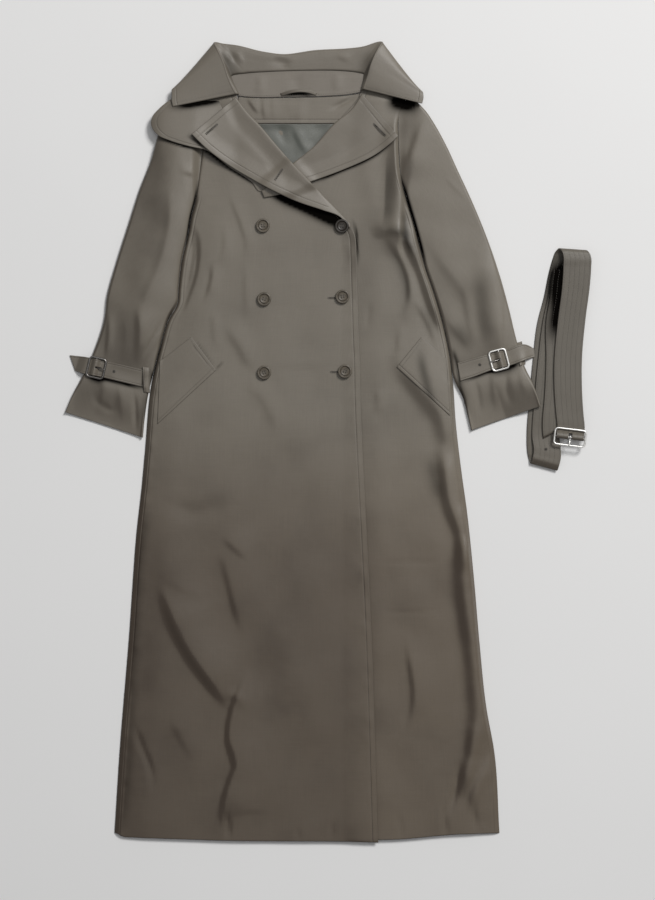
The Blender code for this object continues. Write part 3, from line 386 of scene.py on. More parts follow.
LAPEL_RIGHT = (
    Strip(-153, 568, -225, 506),
    Strip(-134, 543, -200, 482),
    Strip(-112, 520, -166, 457),
    Strip(-92, 496, -126, 433),
    Strip(-67, 467, -92, 414),
    Strip(-45, 443, -49, 395),
    Strip(-18, 415, -10, 382),
    Strip(12, 384, 19, 371),
    Strip(36, 358, 36, 352),
)
LAPEL_LEFT = (
    Strip(55, 574, 115, 504),
    Strip(41, 552, 102, 492),
    Strip(11, 526, 76, 473),
    Strip(-26, 485, 19, 447),
    Strip(-56, 461, -29, 429),
    Strip(-88, 433, -80, 408),
    Strip(-110, 413, -106, 403),
)
NECK = (
    Strip(-149, 571, -163, 605),
    Strip(-135, 569.5, -147, 607),
    Strip(-118, 568.5, -128, 609),
    Strip(-77, 569, -76, 612),
    Strip(4, 571, 8, 613),
    Strip(30, 573, 38, 611),
    Strip(53, 577, 60, 608),
)
FACING_LOW_Y = 526.0
LINING = (
    Strip(-118, 440, 30, 440),
    Strip(-140, 525, 48, 525),
)
COLLAR_LEAF = (
    Leaf(-147, 574, -152, 573, 13, -256, 552, 15, 0),
    Leaf(-152, 584, -158, 584, 14.5, -258, 561, 14.5, 0),
    Leaf(-157, 594, -165, 600, 15.5, -258, 569, 14, 0),
    Leaf(-160, 602, -172, 622, 16, -258, 576, 13, 0),
    Leaf(-156, 606, -183, 647, 14, -257, 581, 11, 0.1),
    Leaf(-149, 607.6, -188, 657, 10.5, -253, 583, 6, 0.5),
    Leaf(-142, 608, -187, 659, 6.5, -243, 584, 0.75, 0.9),
    Leaf(-132, 609.5, -174, 657, 4.2, -205, 583, 0.75, 1),
    Leaf(-115, 610.6, -150, 654, 3.8, -160, 582, 0.75, 1),
    Leaf(-76, 612.6, -106, 643.5, 3.8, -100, 581, 0.75, 1),
    Leaf(-48, 613.2, -72, 639.6, 3.8, -64, 581, 0.75, 1),
    Leaf(-20, 613.6, -24, 646, 3.8, -24, 582, 0.75, 1),
    Leaf(8, 613.6, 30, 649, 3.8, 30, 584, 0.75, 1),
    Leaf(30, 612.4, 60, 653, 3.8, 80, 585, 0.75, 1),
    Leaf(42, 611, 78, 659, 4.2, 112, 583, 0.75, 1),
    Leaf(48, 610, 87, 660, 6.5, 140, 582, 0.75, 0.9),
    Leaf(53, 609, 88, 658, 10.5, 150, 579, 6, 0.5),
    Leaf(57, 608, 82, 648, 14, 154, 577, 11, 0.1),
    Leaf(58, 604, 70, 622, 16, 156, 572, 13, 0),
    Leaf(57, 596, 64, 602, 15.5, 156, 566, 14, 0),
    Leaf(55, 588, 60, 590, 14.5, 155, 561, 14.5, 0),
    Leaf(53, 580, 57, 581, 13, 154, 557, 15, 0),
)
HANGER_LOOP = (
    Strip(-77, 570.6, -80, 575),
    Strip(-63, 574.5, -65, 579.5),
    Strip(-47, 576.5, -47, 581.5),
    Strip(-34, 575.5, -31, 580.5),
    Strip(-21, 571.6, -18, 576),
)
WELT_RIGHT = (
    Strip(-226, 174, -185, 119),
    Strip(-278, 134, -282, 30),
)
WELT_LEFT = (
    Strip(153, 174, 112, 124),
    Strip(194, 138, 200, 44),
)
BUTTONS = ((-108, 357), (-106, 236), (-106, 115), (22, 356), (23, 240), (27, 117))
STRAP_RIGHT = (
    Strip(-427, 144, -418, 118),
    Strip(-404, 141.5, -406, 114),
    Strip(-370, 134.5, -376, 108),
    Strip(-340, 128, -346, 101),
    Strip(-311, 121, -317, 94),
    Strip(-297, 117.5, -303, 90.5),
)
STRAP_LEFT = (
    Strip(349, 148, 350, 143),
    Strip(327, 161, 334, 139),
    Strip(293, 153, 300, 127),
    Strip(260, 144.5, 267, 118.5),
    Strip(232, 137, 239, 108),
    Strip(212, 131, 217, 101),
)
CUFF_BUCKLE_RIGHT = Buckle(-382, 123, -13, 1)
CUFF_BUCKLE_LEFT = Buckle(280.5, 136, 15, -1)
KEEPER_RIGHT = (
    Strip(-306, 125, -295, 123),
    Strip(-304, 83, -294, 81),
)
KEEPER_LEFT = (
    Strip(309, 164, 319, 167),
    Strip(315, 126, 325, 129),
)
BELT = (
    Pass(397.9, 14.8, 10.8, -7),
    Pass(397.5, 11.6, 11.9, -7),
    Pass(397, 8.5, 12.5, -7),
    Pass(396.75, 6.5, 13.3, -7),
    Pass(396.65, 5.7, 15.3, -7),
    Pass(396.75, 6.5, 17.3, -7),
    Pass(397, 8.5, 18.1, -7),
    Pass(397.4, 11.5, 17.6, -7),
    Pass(397.7, 14.5, 15.6, -7),
    Pass(398.1, 17.3, 12.9, -7),
    Pass(398.4, 19.8, 11.8, -7),
    Pass(398.7, 24, 11.6, -7),
    Pass(398.4, 32, 11.6, -6),
    Pass(397, 45, 11.4, -5),
    Pass(394, 90, 11.6, -1),
    Pass(394, 136, 11.6, 2),
    Pass(400, 202, 12.0, 5),
    Pass(407, 258, 12.9, 3),
    Pass(409, 288, 13.2, 0),
    Pass(409, 305, 13.2, -3),
    Pass(406, 314, 11.2, -4),
    Pass(402, 317.5, 7.2, -4),
    Pass(398, 314, 3.2, -4),
    Pass(394, 305, 1.3, -3),
    Pass(388, 286, 1.3, 0),
    Pass(378, 240, 1.3, 4),
    Pass(368, 202, 1.3, 5),
    Pass(360, 136, 1.3, 3),
    Pass(354, 70, 1.3, 1),
    Pass(350, 10, 1.3, -2),
    Pass(351, -22, 1.3, -10),
    Pass(353, -34, 1.6, -14),
    Pass(355, -39.6, 4.4, -15),
    Pass(357, -34, 7.2, -15),
    Pass(360, -22, 7.2, -12),
    Pass(358, 10, 4.7, -4),
    Pass(362, 70, 4.5, 0),
    Pass(368, 136, 4.5, 2),
    Pass(376, 202, 4.5, 4),
    Pass(386, 250, 4.3, 4),
    Pass(390, 272, 4.1, 2),
    Pass(392, 281, 4.5, 0),
    Pass(392, 284, 6.6, 0),
    Pass(392, 281, 8.8, 0),
    Pass(390, 270, 9.3, 2),
    Pass(387, 240, 8.9, 4),
    Pass(381, 202, 8.2, 4),
    Pass(381, 136, 8.0, 2),
    Pass(378, 70, 8.0, 0),
    Pass(375, 38, 8.0, 6),
    Pass(374, 17, 8.0, 27),
)
# Rows of the belt from this one on lie in the shade of its upper pass
BELT_TURN = 22
BELT_TILT = -7.0
BELT_BUCKLE_CENTRE = (397.0, 8.5, 15.3)
BELT_WIRE = BuckleSize(30.0, 54.0, 1.7, 0.0)
BELT_PRONG = ((0, -2.8, 0.4), (0, -6.75, 2.1), (0, -10.5, 3.0), (0, -15.0, 3.0))
CUFF_WIRE = BuckleSize(31.0, 36.0, 1.8, -2.5)
CUFF_PRONG = ((0, -0.4, 0.0), (0, 4.4, 1.5), (0, 9.4, 2.5), (0, 12.0, 2.6), (0, 14.5, 2.5))
BUTTONHOLES = (
    Hole(-191.5, 515, 42, 25),
    Hole(-81.5, 440.5, -304, 22),
    Hole(84, 515, -45, 28),
    Hole(6.5, 238, 0, 15),
    Hole(10.5, 116, 0, 15),
)
ARMHOLE_LEFT_Y = 430.0
ARMHOLE_RIGHT_Y = 400.0

CREASES_RIGHT = (
    Crease(-1.9, 3, 10, ((-224, 364), (-217, 329), (-219, 285), (-233, 238), (-247, 202))),
    Crease(-1.4, 3, 7, ((-227, 354), (-225, 311), (-232, 268), (-243, 229))),
    Crease(-0.9, 3, 8, ((-194, 298), (-197, 265), (-212, 225))),
    Crease(1.4, 20, 9, ((-179, 205), (-161, 184), (-144, 159), (-130, 133), (-111, 113))),
    Crease(0.8, 14, 5, ((-166, 420), (-154, 390), (-141, 357), (-133, 324), (-134, 295))),
    Crease(0.45, 10, 5, ((-136, 308), (-135, 252), (-134, 192))),
    Crease(1.2, 70, 40, ((-54, 87), (-21, -29), (6, -194))),
    Crease(-1.2, 16, 18, ((-285, -92), (-219, -115), (-146, -85))),
    Crease(0.9, 40, 10, ((-281, -217), (-238, -237), (-192, -257))),
    Crease(1.0, 30, 4, ((-177, -153), (-156, -172), (-130, -194))),
    Crease(1.5, 40, 6, ((-177, -171), (-167, -210), (-158, -247), (-149, -283), (-133, -329))),
    Crease(1.8, 110, 48, ((-166, -121), (-103, -253), (-34, -392), (35, -547))),
    Crease(4.9, 50, 8.5, (
        (-276, -224), (-266, -260), (-253, -296), (-227, -346), (-194, -392), (-153, -445),
    )),
    Crease(0.8, 10, 5, ((-176, -422), (-159, -417), (-144, -425), (-144, -441))),
    Crease(2.9, 40, 4, (
        (-130, -365), (-146, -408), (-159, -445), (-163, -494), (-156, -517), (-153, -532), (-161, -557),
        (-169, -583), (-174, -613), (-163, -646),
    )),
    Crease(-1.1, 3, 4, ((-326, -451), (-308, -499), (-293, -537), (-286, -582))),
    Crease(0.8, 26, 6, ((-262, -445), (-242, -484), (-217, -530))),
    Crease(-1.4, 3, 3, ((-169, -603), (-166, -629), (-164, -659))),
    Crease(-0.6, 3, 3, ((-52, -629), (-50, -659))),
    Crease(-0.6, 3, 3, ((6, -620), (6, -659))),
    Crease(0.45, 30, 7, ((-110, 133), (-40, 130), (26, 133))),
    Crease(0.8, 12, 5, ((-172, 361), (-169, 334), (-172, 311), (-187, 291))),
    Crease(0.8, 12, 5, ((-186, 298), (-191, 271), (-199, 238))),
    Crease(0.6, 12, 5, ((-191, 222), (-187, 186), (-184, 149))),
    Crease(1.0, 18, 10, ((-146, 103), (-123, 90), (-103, 70), (-90, 40), (-80, 7))),
)
CREASES_LEFT = (
    Crease(6.4, 6.5, 20, ((121, 552), (118, 446), (116, 364), (111, 295))),
    Crease(2.2, 18, 5, ((68, 339), (95, 347), (130, 344))),
    Crease(5.2, 16, 7.5, ((108, 367), (136, 324), (154, 281), (169, 235), (194, 172))),
    Crease(2.4, 14, 9, ((95, 357), (121, 337), (139, 308), (149, 278))),
    Crease(2.2, 20, 5, ((88, 354), (118, 309), (134, 266), (133, 232), (113, 202))),
    Crease(1.3, 12, 4, ((138, 242), (167, 192), (182, 146))),
    Crease(-0.7, 5, 5, ((68, 235), (62, 182))),
    Crease(0.9, 12, 5, ((125, 199), (118, 176), (115, 149), (108, 133))),
    Crease(0.8, 14, 5, ((78, 93), (83, 70), (78, 44))),
    Crease(5.6, 60, 17, ((98, 169), (125, 126), (158, 87), (187, 47), (197, 4), (196, -55))),
    Crease(6.4, 18, 13, ((187, 4), (196, -49), (202, -95), (220, -148), (230, -219))),
    Crease(6.8, 22, 17, ((220, -144), (229, -260), (238, -329), (245, -395), (248, -445), (237, -524))),
    Crease(3.4, 14, 9, ((243, -458), (233, -527), (217, -590))),
    Crease(2.2, 34, 5.5, ((128, -309), (138, -372), (143, -415), (130, -488))),
    Crease(-2.0, 4, 6, ((219, -517), (212, -563), (197, -623))),
    Crease(2.6, 14, 5, ((268, -504), (255, -544), (238, -587), (243, -626))),
    Crease(-1.2, 4, 4, ((243, -570), (240, -610), (247, -653))),
    Crease(-1.1, 4, 4, ((194, -583), (191, -623), (197, -659))),
    Crease(-0.8, 3, 3, ((116, -610), (121, -659))),
    Crease(-0.25, 2.5, 2.5, ((72, -199), (134, -197), (197, -200))),
    Crease(-0.2, 2.5, 2.5, ((72, -278), (134, -280), (197, -276))),
)
CREASES_SLEEVE_RIGHT = (
    Crease(10.5, 80, 54, (
        (-242, 582), (-252, 417), (-255, 341), (-271, 280), (-290, 230), (-298, 179), (-309, 110),
    )),
    Crease(1.5, 40, 9, ((-257, 433), (-262, 341), (-280, 280), (-301, 230), (-308, 196))),
    Crease(1.4, 12, 3, ((-248, 448), (-229, 443), (-202, 436))),
    Crease(1.0, 6, 6, ((-210, 450), (-214, 417), (-219, 390))),
    Crease(2.0, 14, 7, ((-311, 235), (-309, 179), (-314, 123))),
    Crease(0.5, 16, 7, ((-334, 215), (-332, 169), (-337, 126))),
    Crease(1.3, 8, 3, ((-362, 225), (-362, 176), (-367, 130))),
    Crease(-1.1, 3, 3, ((-268, 209), (-290, 169), (-309, 133))),
    Crease(-0.9, 3, 3, ((-255, 212), (-275, 172), (-296, 130))),
    Crease(1.0, 8, 3, ((-248, 232), (-271, 186), (-291, 149))),
    Crease(0.8, 12, 6, ((-372, 123), (-370, 83), (-380, 40))),
    Crease(-0.5, 6, 6, ((-390, 97), (-380, 67), (-357, 54), (-351, 90))),
    Crease(0.6, 12, 5, ((-344, 106), (-341, 67), (-337, 27))),
    Crease(-1.2, 4, 4, ((-321, 90), (-318, 50), (-318, 11))),
)
CREASES_SLEEVE_LEFT = (
    Crease(1.9, 24, 6, ((164, 545), (153, 516), (138, 476), (121, 430))),
    Crease(6.0, 16, 30, ((262, 341), (270, 271), (278, 205), (283, 133))),
    Crease(0.9, 10, 8, ((224, 268), (232, 209), (245, 146))),
    Crease(-0.9, 3, 3, ((288, 268), (291, 215), (291, 163))),
    Crease(1.5, 30, 13, ((158, 351), (191, 298), (219, 260), (247, 205))),
    Crease(1.5, 20, 9, ((167, 235), (200, 199), (247, 146))),
    Crease(0.45, 6, 2.5, ((187, 440), (210, 418), (233, 395))),
    Crease(-0.9, 5, 6, ((240, 110), (247, 73), (250, 40))),
    Crease(1.0, 12, 6, ((270, 133), (273, 93), (278, 47))),
    Crease(-1.0, 7, 6, ((293, 133), (293, 90), (303, 54))),
    Crease(0.9, 12, 6, ((224, 113), (230, 77), (240, 34))),
    Crease(0.9, 10, 6, ((316, 143), (319, 106), (329, 70))),
)
CREASES_FACING = (
    Crease(1.1, 12, 3.5, ((-134, 572), (-124, 556), (-112, 540))),
    Crease(0.9, 14, 4, ((-104, 574), (-106, 552), (-102, 528))),
    Crease(0.5, 12, 5, ((-88, 574), (-90, 550), (-88, 530))),
    Crease(-1.5, 3.5, 5, ((54, 578), (36, 566), (14, 554), (-4, 546))),
    Crease(0.7, 16, 18, ((-60, 566), (-50, 530))),
)
CREASES_LINING = (
    Crease(1.6, 10, 5, ((-60, 530), (-48, 500), (-28, 470))),
    Crease(1.3, 7, 7, ((10, 528), (-6, 500), (-26, 476))),
    Crease(-1.2, 8, 8, ((-84, 528), (-76, 505), (-62, 486))),
    Crease(1.0, 8, 12, ((-30, 528), (-34, 505), (-42, 490))),
)
CREASES_STAND = (
    Crease(0.8, 6, 9, ((-120, 572), (-112, 590), (-116, 608))),
    Crease(0.7, 8, 8, ((20, 576), (14, 592), (20, 610))),
    Crease(-0.7, 10, 12, ((-50, 575), (-56, 608))),
)
CREASES_LEAF = (
    Crease(1.6, 5, 6, ((-176, 654), (-168, 640), (-160, 622))),
    Crease(-1.2, 4, 5, ((-166, 652), (-158, 636), (-152, 624))),
    Crease(1.2, 5, 5, ((-152, 648), (-146, 634), (-142, 622))),
    Crease(-1.8, 12, 14, ((-92, 640), (-76, 628), (-60, 624))),
    Crease(1.0, 10, 10, ((30, 646), (20, 628))),
)
# Where a strap draws its cuff in
PRESSED_RIGHT = (Crease(1.0, 20, 14, ((-520, 150), (-427, 131), (-300, 104), (-200, 83))),)
PRESSED_LEFT = (Crease(1.0, 14, 20, ((430, 163), (349, 146), (214, 116), (130, 98))),)
ARMHOLE_RIGHT = ((-214, 440), (-219, 407), (-228, 370), (-233, 337), (-239, 308))
ARMHOLE_LEFT = ((117, 450), (120, 436), (130, 401), (143, 357), (152, 323), (163, 285))
SHOULDER_LEFT = ((92, 570), (113, 562), (134, 559), (158, 559))

# Painted shade: where cloth lies in the deep shade of the edge above it. A crease's height is the share of
# shade.
SHADES = {
    "front_right": (
        Crease(1.5, 8, 5, (
            (-235, 504), (-200, 482), (-166, 457), (-126, 433), (-92, 414), (-49, 394), (-10, 380),
            (21, 369), (39, 349),
        )),
        Crease(1.3, 12, 9, ((-110, 422), (-77, 403), (-42, 387), (-11, 372), (16, 359), (45, 344))),
        Crease(1.0, 2.0, 2.0, ARMHOLE_RIGHT),
        Crease(0.4, 1.6, 1.6, ((-224, 175), (-205, 148), (-186, 120))),
        Crease(0.5, 1.6, 1.6, ((-188, 117), (-181, 125), (-171, 135))),
        Crease(0.35, 9, 1.5, (
            (-299, -95), (-311, -194), (-320, -326), (-327, -458), (-334, -573), (-341, -648),
        )),
        Crease(0.9, 3, 4, ((-270, 176), (-280, 149), (-288, 116), (-293, 90))),
    ),
    "sleeve_right": (
        Crease(1.0, 2.0, 1.6, ARMHOLE_RIGHT),
        Crease(0.8, 2.0, 1.8, ((-249, 238), (-265, 199), (-277, 158), (-288, 116), (-295, 83))),
        Crease(0.6, 3, 8, ((-291, 97), (-298, 64), (-304, 24))),
        Crease(1.1, 5, 2.6, ((-291, 514), (-278, 502), (-260, 494), (-227, 484), (-199, 479))),
        Crease(1.1, 4, 3.4, ((-410, 114), (-376, 106), (-346, 99), (-317, 92), (-291, 87))),
        Crease(1.0, 4, 7, ((-400, 115), (-384, 105), (-364, 101))),
        Crease(0.8, 4, 3, ((-293, 126), (-291, 103), (-296, 77))),
    ),
    "sleeve_left": (
        Crease(1.3, 3.4, 4, ARMHOLE_LEFT),
        Crease(1.8, 10, 13, SHOULDER_LEFT),
        Crease(1.0, 4, 3.2, ((209, 97), (239, 107), (266, 117), (299, 125), (329, 134))),
        Crease(0.95, 4, 9, ((257, 114), (280, 120), (301, 126), (321, 134))),
        Crease(0.7, 4, 2, ((207, 139), (215, 100), (233, 31))),
        Crease(0.28, 14, 12, ((253, 298), (252, 252), (257, 202), (265, 153))),
        Crease(0.3, 12, 10, ((204, 199), (220, 176), (237, 149))),
        Crease(0.8, 4, 3, ((202, 159), (210, 136), (219, 113))),
    ),
    "front_left": (
        Crease(1.0, 2.5, 2.5, ((37, 374), (45, 351), (47, 321), (49, 285))),
        Crease(1.1, 4, 3.2, ARMHOLE_LEFT),
        Crease(1.8, 10, 13, SHOULDER_LEFT),
        Crease(1.0, 6, 3.2, ((-39, 427), (-29, 429), (19, 447), (76, 473), (101, 492), (118, 506))),
        Crease(0.34, 9, 6, ((73, 349), (98, 347), (123, 346), (136, 326), (143, 304), (151, 281))),
        Crease(0.42, 13, 2, ((97, 483), (95, 417), (93, 375), (87, 341))),
        Crease(0.45, 5, 6, ((121, 392), (125, 370), (128, 347), (131, 324))),
        Crease(0.5, 5, 5, ((105, 349), (120, 342), (131, 324), (139, 301))),
        Crease(0.4, 5, 10, ((92, 334), (111, 308), (123, 281), (131, 252), (130, 227), (118, 209))),
        Crease(0.2, 10, 10, ((151, 235), (164, 205), (174, 172))),
        Crease(0.42, 13, 12, ((167, -9), (171, -39), (176, -62), (182, -85), (192, -108))),
    ),
    "gun_flap": (
        Crease(1.5, 8, 7, ((-271, 553), (-237, 555), (-212, 559), (-187, 564), (-153, 578))),
        Crease(0.9, 6, 3, ((-235, 507), (-200, 481))),
    ),
    "lapel_right": (
        Crease(1.5, 8, 6, ((-192, 565), (-176, 568), (-163, 573), (-146, 582))),
    ),
    "lapel_left": (
        Crease(1.4, 8, 4, ((39, 595), (72, 578), (93, 568), (118, 562))),
    ),
    "pocket_welt_left": (
        Crease(0.5, 8, 8, ((149, 166), (153, 133), (163, 90), (174, 50), (186, 11))),
    ),
    "collar_leaf": (
        Crease(0.45, 14, 3, ((-182, 654), (-171, 631), (-161, 605), (-149, 578))),
        Crease(0.4, 4, 14, ((75, 651), (68, 631), (64, 608), (59, 585))),
    ),
    "collar_stand": (
        Crease(1.3, 4, 2.6, ((-80, 569), (-64, 573), (-50, 574), (-35, 573), (-19, 569))),
    ),
    "cuff_strap_right": (
        Crease(0.9, 3, 2, ((-304, 126), (-307, 80))),
    ),
    "belt": (
        Crease(1.3, 12, 14, ((379, 324), (384, 298), (382, 260), (377, 210), (369, 153))),
        Crease(0.5, 12, 14, ((369, 324), (365, 275), (362, 209))),
    ),
}

# Each front's hem bows down from a start, over a rising stretch, until an end and a falling stretch
HEM_LEFT = Hem(60, 120, 215, 60, 6.3)
HEM_RIGHT = Hem(0, 18, 150, 280, 6.0)
FRONTS = (
    FrontPlan("front_left", FRONT_LEFT, CREASES_LEFT, ARMHOLE_LEFT_Y, 11, 12.0, HEM_LEFT, 1),
    FrontPlan("front_right", FRONT_RIGHT, CREASES_RIGHT, ARMHOLE_RIGHT_Y, 21, 30.0, HEM_RIGHT, 0),
)
SLEEVES = (
    SleevePlan("sleeve_right", SLEEVE_RIGHT, CREASES_SLEEVE_RIGHT, PRESSED_RIGHT, -1, 41, FRONT_RIGHT),
    SleevePlan("sleeve_left", SLEEVE_LEFT, CREASES_SLEEVE_LEFT, PRESSED_LEFT, 1, 51, FRONT_LEFT),
)

# Colours, as shares of red, green and blue
# Painted shade: the colour that cloth turns to as it tilts from the light
SHADED_CLOTH_COLOUR = (0.048, 0.036, 0.026)
DEEP_SHADE = (0.003, 0.0026, 0.0022, 1.0)
LIGHTWARD = (0.43, 0.53, 0.731)
LEVEL_TONE = 0.27
SLUB_SCALES = ((0.9, 0.018, 1.0), (0.02, 1.1, 1.0))
# Painted light: each weave runs from a lit to a shaded colour. The pressed weave is a little darker and
# swings less with tilt, and the stand's weave is lighter, to make up for how light falls on those pieces.
WEAVES = (
    Weave("shell_weave", (0.206, 0.183, 0.148), SHADED_CLOTH_COLOUR, 0.75, 0.48, 0.15, 0.05, 0.4),
    Weave("shell_weave_pressed", (0.198, 0.176, 0.143), SHADED_CLOTH_COLOUR, 0.75, 0.48, 0.15, 0.05, 0.12),
    Weave("shell_weave_stand", (0.228, 0.203, 0.170), SHADED_CLOTH_COLOUR, 0.75, 0.48, 0.15, 0.05, 0.12),
    Weave("belt_weave", (0.140, 0.126, 0.102), SHADED_CLOTH_COLOUR, 0.75, 0.5, 0.1, 0.05, 0.4),
    Weave("lining_satin", (0.138, 0.142, 0.126), (0.07, 0.075, 0.065), 0.4, 0.38, 0.1, 0.03, 0.4),
)

# The studio, in metres and watts
FLOOR_REACH = 9.0
FLOOR_Z = -0.0004
FLOOR_COLOUR = (0.83, 0.83, 0.83)
SKY_COLOUR = (0.985, 0.99, 1.0, 1.0)
SKY_STRENGTH = 0.225
LIGHTS = (
    Light("key", (3.0, 3.7, 5.0), 2.2, 352.0, (1.0, 0.99, 0.975)),
    Light("overhead", (0.25, 0.7, 4.6), 2.4, 22.0, (1.0, 1.0, 1.0)),
)


def smoothstep(value):
    """From 0 up to 1, level at both ends."""
    clipped = np.clip(value, 0.0, 1.0)
    return clipped * clipped * (3 - 2 * clipped)


def ramp(value, start, length):
    """From 0 where the value is at the start, smoothly up to 1 a length further on."""
    return smoothstep((value - start) / length)


def bell(distance, width):
    """A round ridge, 1 high where the distance is 0."""
    return np.exp(-((distance / width) ** 2))


def rounded(share):
    """A quarter of an ellipse, from 0 up to 1."""
    return np.sqrt(np.clip(1.0 - (1.0 - np.clip(share, 0.0, 1.0)) ** 2, 0.0, 1.0))


def smooth_curve(table, wanted_of):
    """Rows along a smooth curve through the rows of a table, at the stations asked for."""
    knots = np.array(table, dtype=float)
    steps = np.linalg.norm(np.diff(knots, axis=0), axis=1)
    stations = np.concatenate(([0.0], np.cumsum(steps)))
    slopes = np.gradient(knots, stations, axis=0)
    wanted = wanted_of(stations)
    cell = np.clip(np.searchsorted(stations, wanted, side="right") - 1, 0, len(steps) - 1)
    span = steps[cell][:, None]
    along = ((wanted - stations[cell]) / steps[cell])[:, None]
    start_weight = (1 + 2 * along) * (1 - along) ** 2
    end_weight = along**2 * (3 - 2 * along)
    start_bend = along * (1 - along) ** 2 * span
    end_bend = along**2 * (along - 1) * span
    curve = start_weight * knots[cell] + end_weight * knots[cell + 1]
    return curve + start_bend * slopes[cell] + end_bend * slopes[cell + 1]


def smooth_spans(table, parts):
    """Rows that cut each span between two rows of the table into equal parts."""
    places = np.arange((len(table) - 1) * parts + 1) / parts
    return smooth_curve(
        table, lambda stations: np.interp(places, np.arange(len(stations)), stations)
    )


def graded(length, start, end, step):
    """Places from 0 to a length: close ones at either end, and even ones between."""
    inner = length - start[-1] - end[-1]
    count = max(1, math.ceil(inner / step))
    middle = start[-1] + inner * np.arange(1, count) / count
    return np.concatenate([start, middle, length - np.array(end)[::-1]])


def rows_of(table, start=EDGE, end=EDGE, step=STEP):
    """Rows of a table of strips, whose stations count both ends of a row and so run 1.4 times as long."""
    both = math.sqrt(2)
    near, far = np.array(start) * both, np.array(end) * both
    return smooth_curve(table, lambda stations: graded(stations[-1], near, far, step * both))


def row_lengths(rows):
    """How long each row of strips is from its start to its end."""
    return np.linalg.norm(rows[:, 2:4] - rows[:, 0:2], axis=1)


def spread(lengths, start, end, step):
    """Distances across each row: close ones at its two ends, and even ones between."""
    start, end = np.array(start), np.array(end)
    count = max(2, math.ceil((lengths.max() - start[-1] - end[-1]) / step))
    scale = np.minimum(1.0, lengths / (1.2 * (start[-1] + end[-1])))[:, None]
    first = start * scale
    last = lengths[:, None] - end[::-1] * scale
    even = np.arange(1, count) / count
    return np.hstack([first, first[:, -1:] + (last[:, :1] - first[:, -1:]) * even, last])


def across(rows, distances):
    """Points at these distances along each row, from its start to its end."""
    starts = rows[:, None, 0:2]
    runs = rows[:, None, 2:4] - starts
    lengths = np.linalg.norm(runs, axis=2, keepdims=True)
    return starts + runs / lengths * distances[:, :, None]


def laid_out(table, left, right, step, over=None, start=EDGE, end=EDGE):
    """Lengths of the rows of a table, distances across each row, and the points there."""
    rows = rows_of(table, start, end, step)
    lengths = row_lengths(rows)
    distances = spread(lengths, left, right, over or step)
    return lengths, distances, across(rows, distances)


def with_height(plan, heights):
    """Points in space from points on the floor and their heights."""
    return np.concatenate([plan, heights[..., None]], axis=2)


def crease_height(points, creases):
    """How far the creases raise or sink the cloth at these points."""
    raised = np.zeros(points.shape[:-1])
    for crease in creases:
        path = smooth_spans(crease.points, TABLE_PARTS)
        widest = max(crease.left, crease.right)
        reach = CREASE_REACH * widest
        near = np.all(
            (points > path.min(axis=0) - reach) & (points < path.max(axis=0) + reach), axis=-1
        )
        offset = points[near][:, None] - path[:-1]
        runs = np.diff(path, axis=0)
        lengths = np.linalg.norm(runs, axis=1)
        share = np.clip((offset * runs).sum(axis=2) / lengths**2, 0.0, 1.0)
        gap = offset - runs * share[..., None]
        distance = np.linalg.norm(gap, axis=2)
        nearest = distance.argmin(axis=1)
        pick = np.arange(len(nearest)), nearest
        side = runs[nearest, 0] * gap[pick][:, 1] - runs[nearest, 1] * gap[pick][:, 0]
        width = np.where(side > 0, crease.left, crease.right)
        ends = np.concatenate(([0.0], np.cumsum(lengths)))
        along = (ends[nearest] + share[pick] * lengths[nearest]) / ends[-1]
        taper = min(TAPER_MOST, (TAPER_LENGTH + TAPER_WIDTHS * widest) / ends[-1])
        fade = smoothstep(along / taper) * smoothstep((1 - along) / taper)
        raised[near] += crease.height * bell(distance[pick], width) * fade
    return raised


def shade_at(node, points):
    """The share of deep shade at these points of a piece."""
    return np.clip(crease_height(points[..., :2], SHADES.get(node, ())), 0.0, 1.0)


def ripple(points, seed, waves):
    """Low waves in every direction, the same on each run."""
    draw = np.random.RandomState(seed)
    total = np.zeros(points.shape[:-1])
    for _ in range(WAVE_COUNT):
        angle = draw.uniform(0, math.pi)
        length = draw.uniform(waves.shortest, waves.longest)
        phase = draw.uniform(0, 2 * math.pi)
        along = points[..., 0] * math.cos(angle) + points[..., 1] * math.sin(angle)
        total += np.sin(2 * math.pi * along / length + phase)
    return total * waves.height / math.sqrt(WAVE_COUNT)


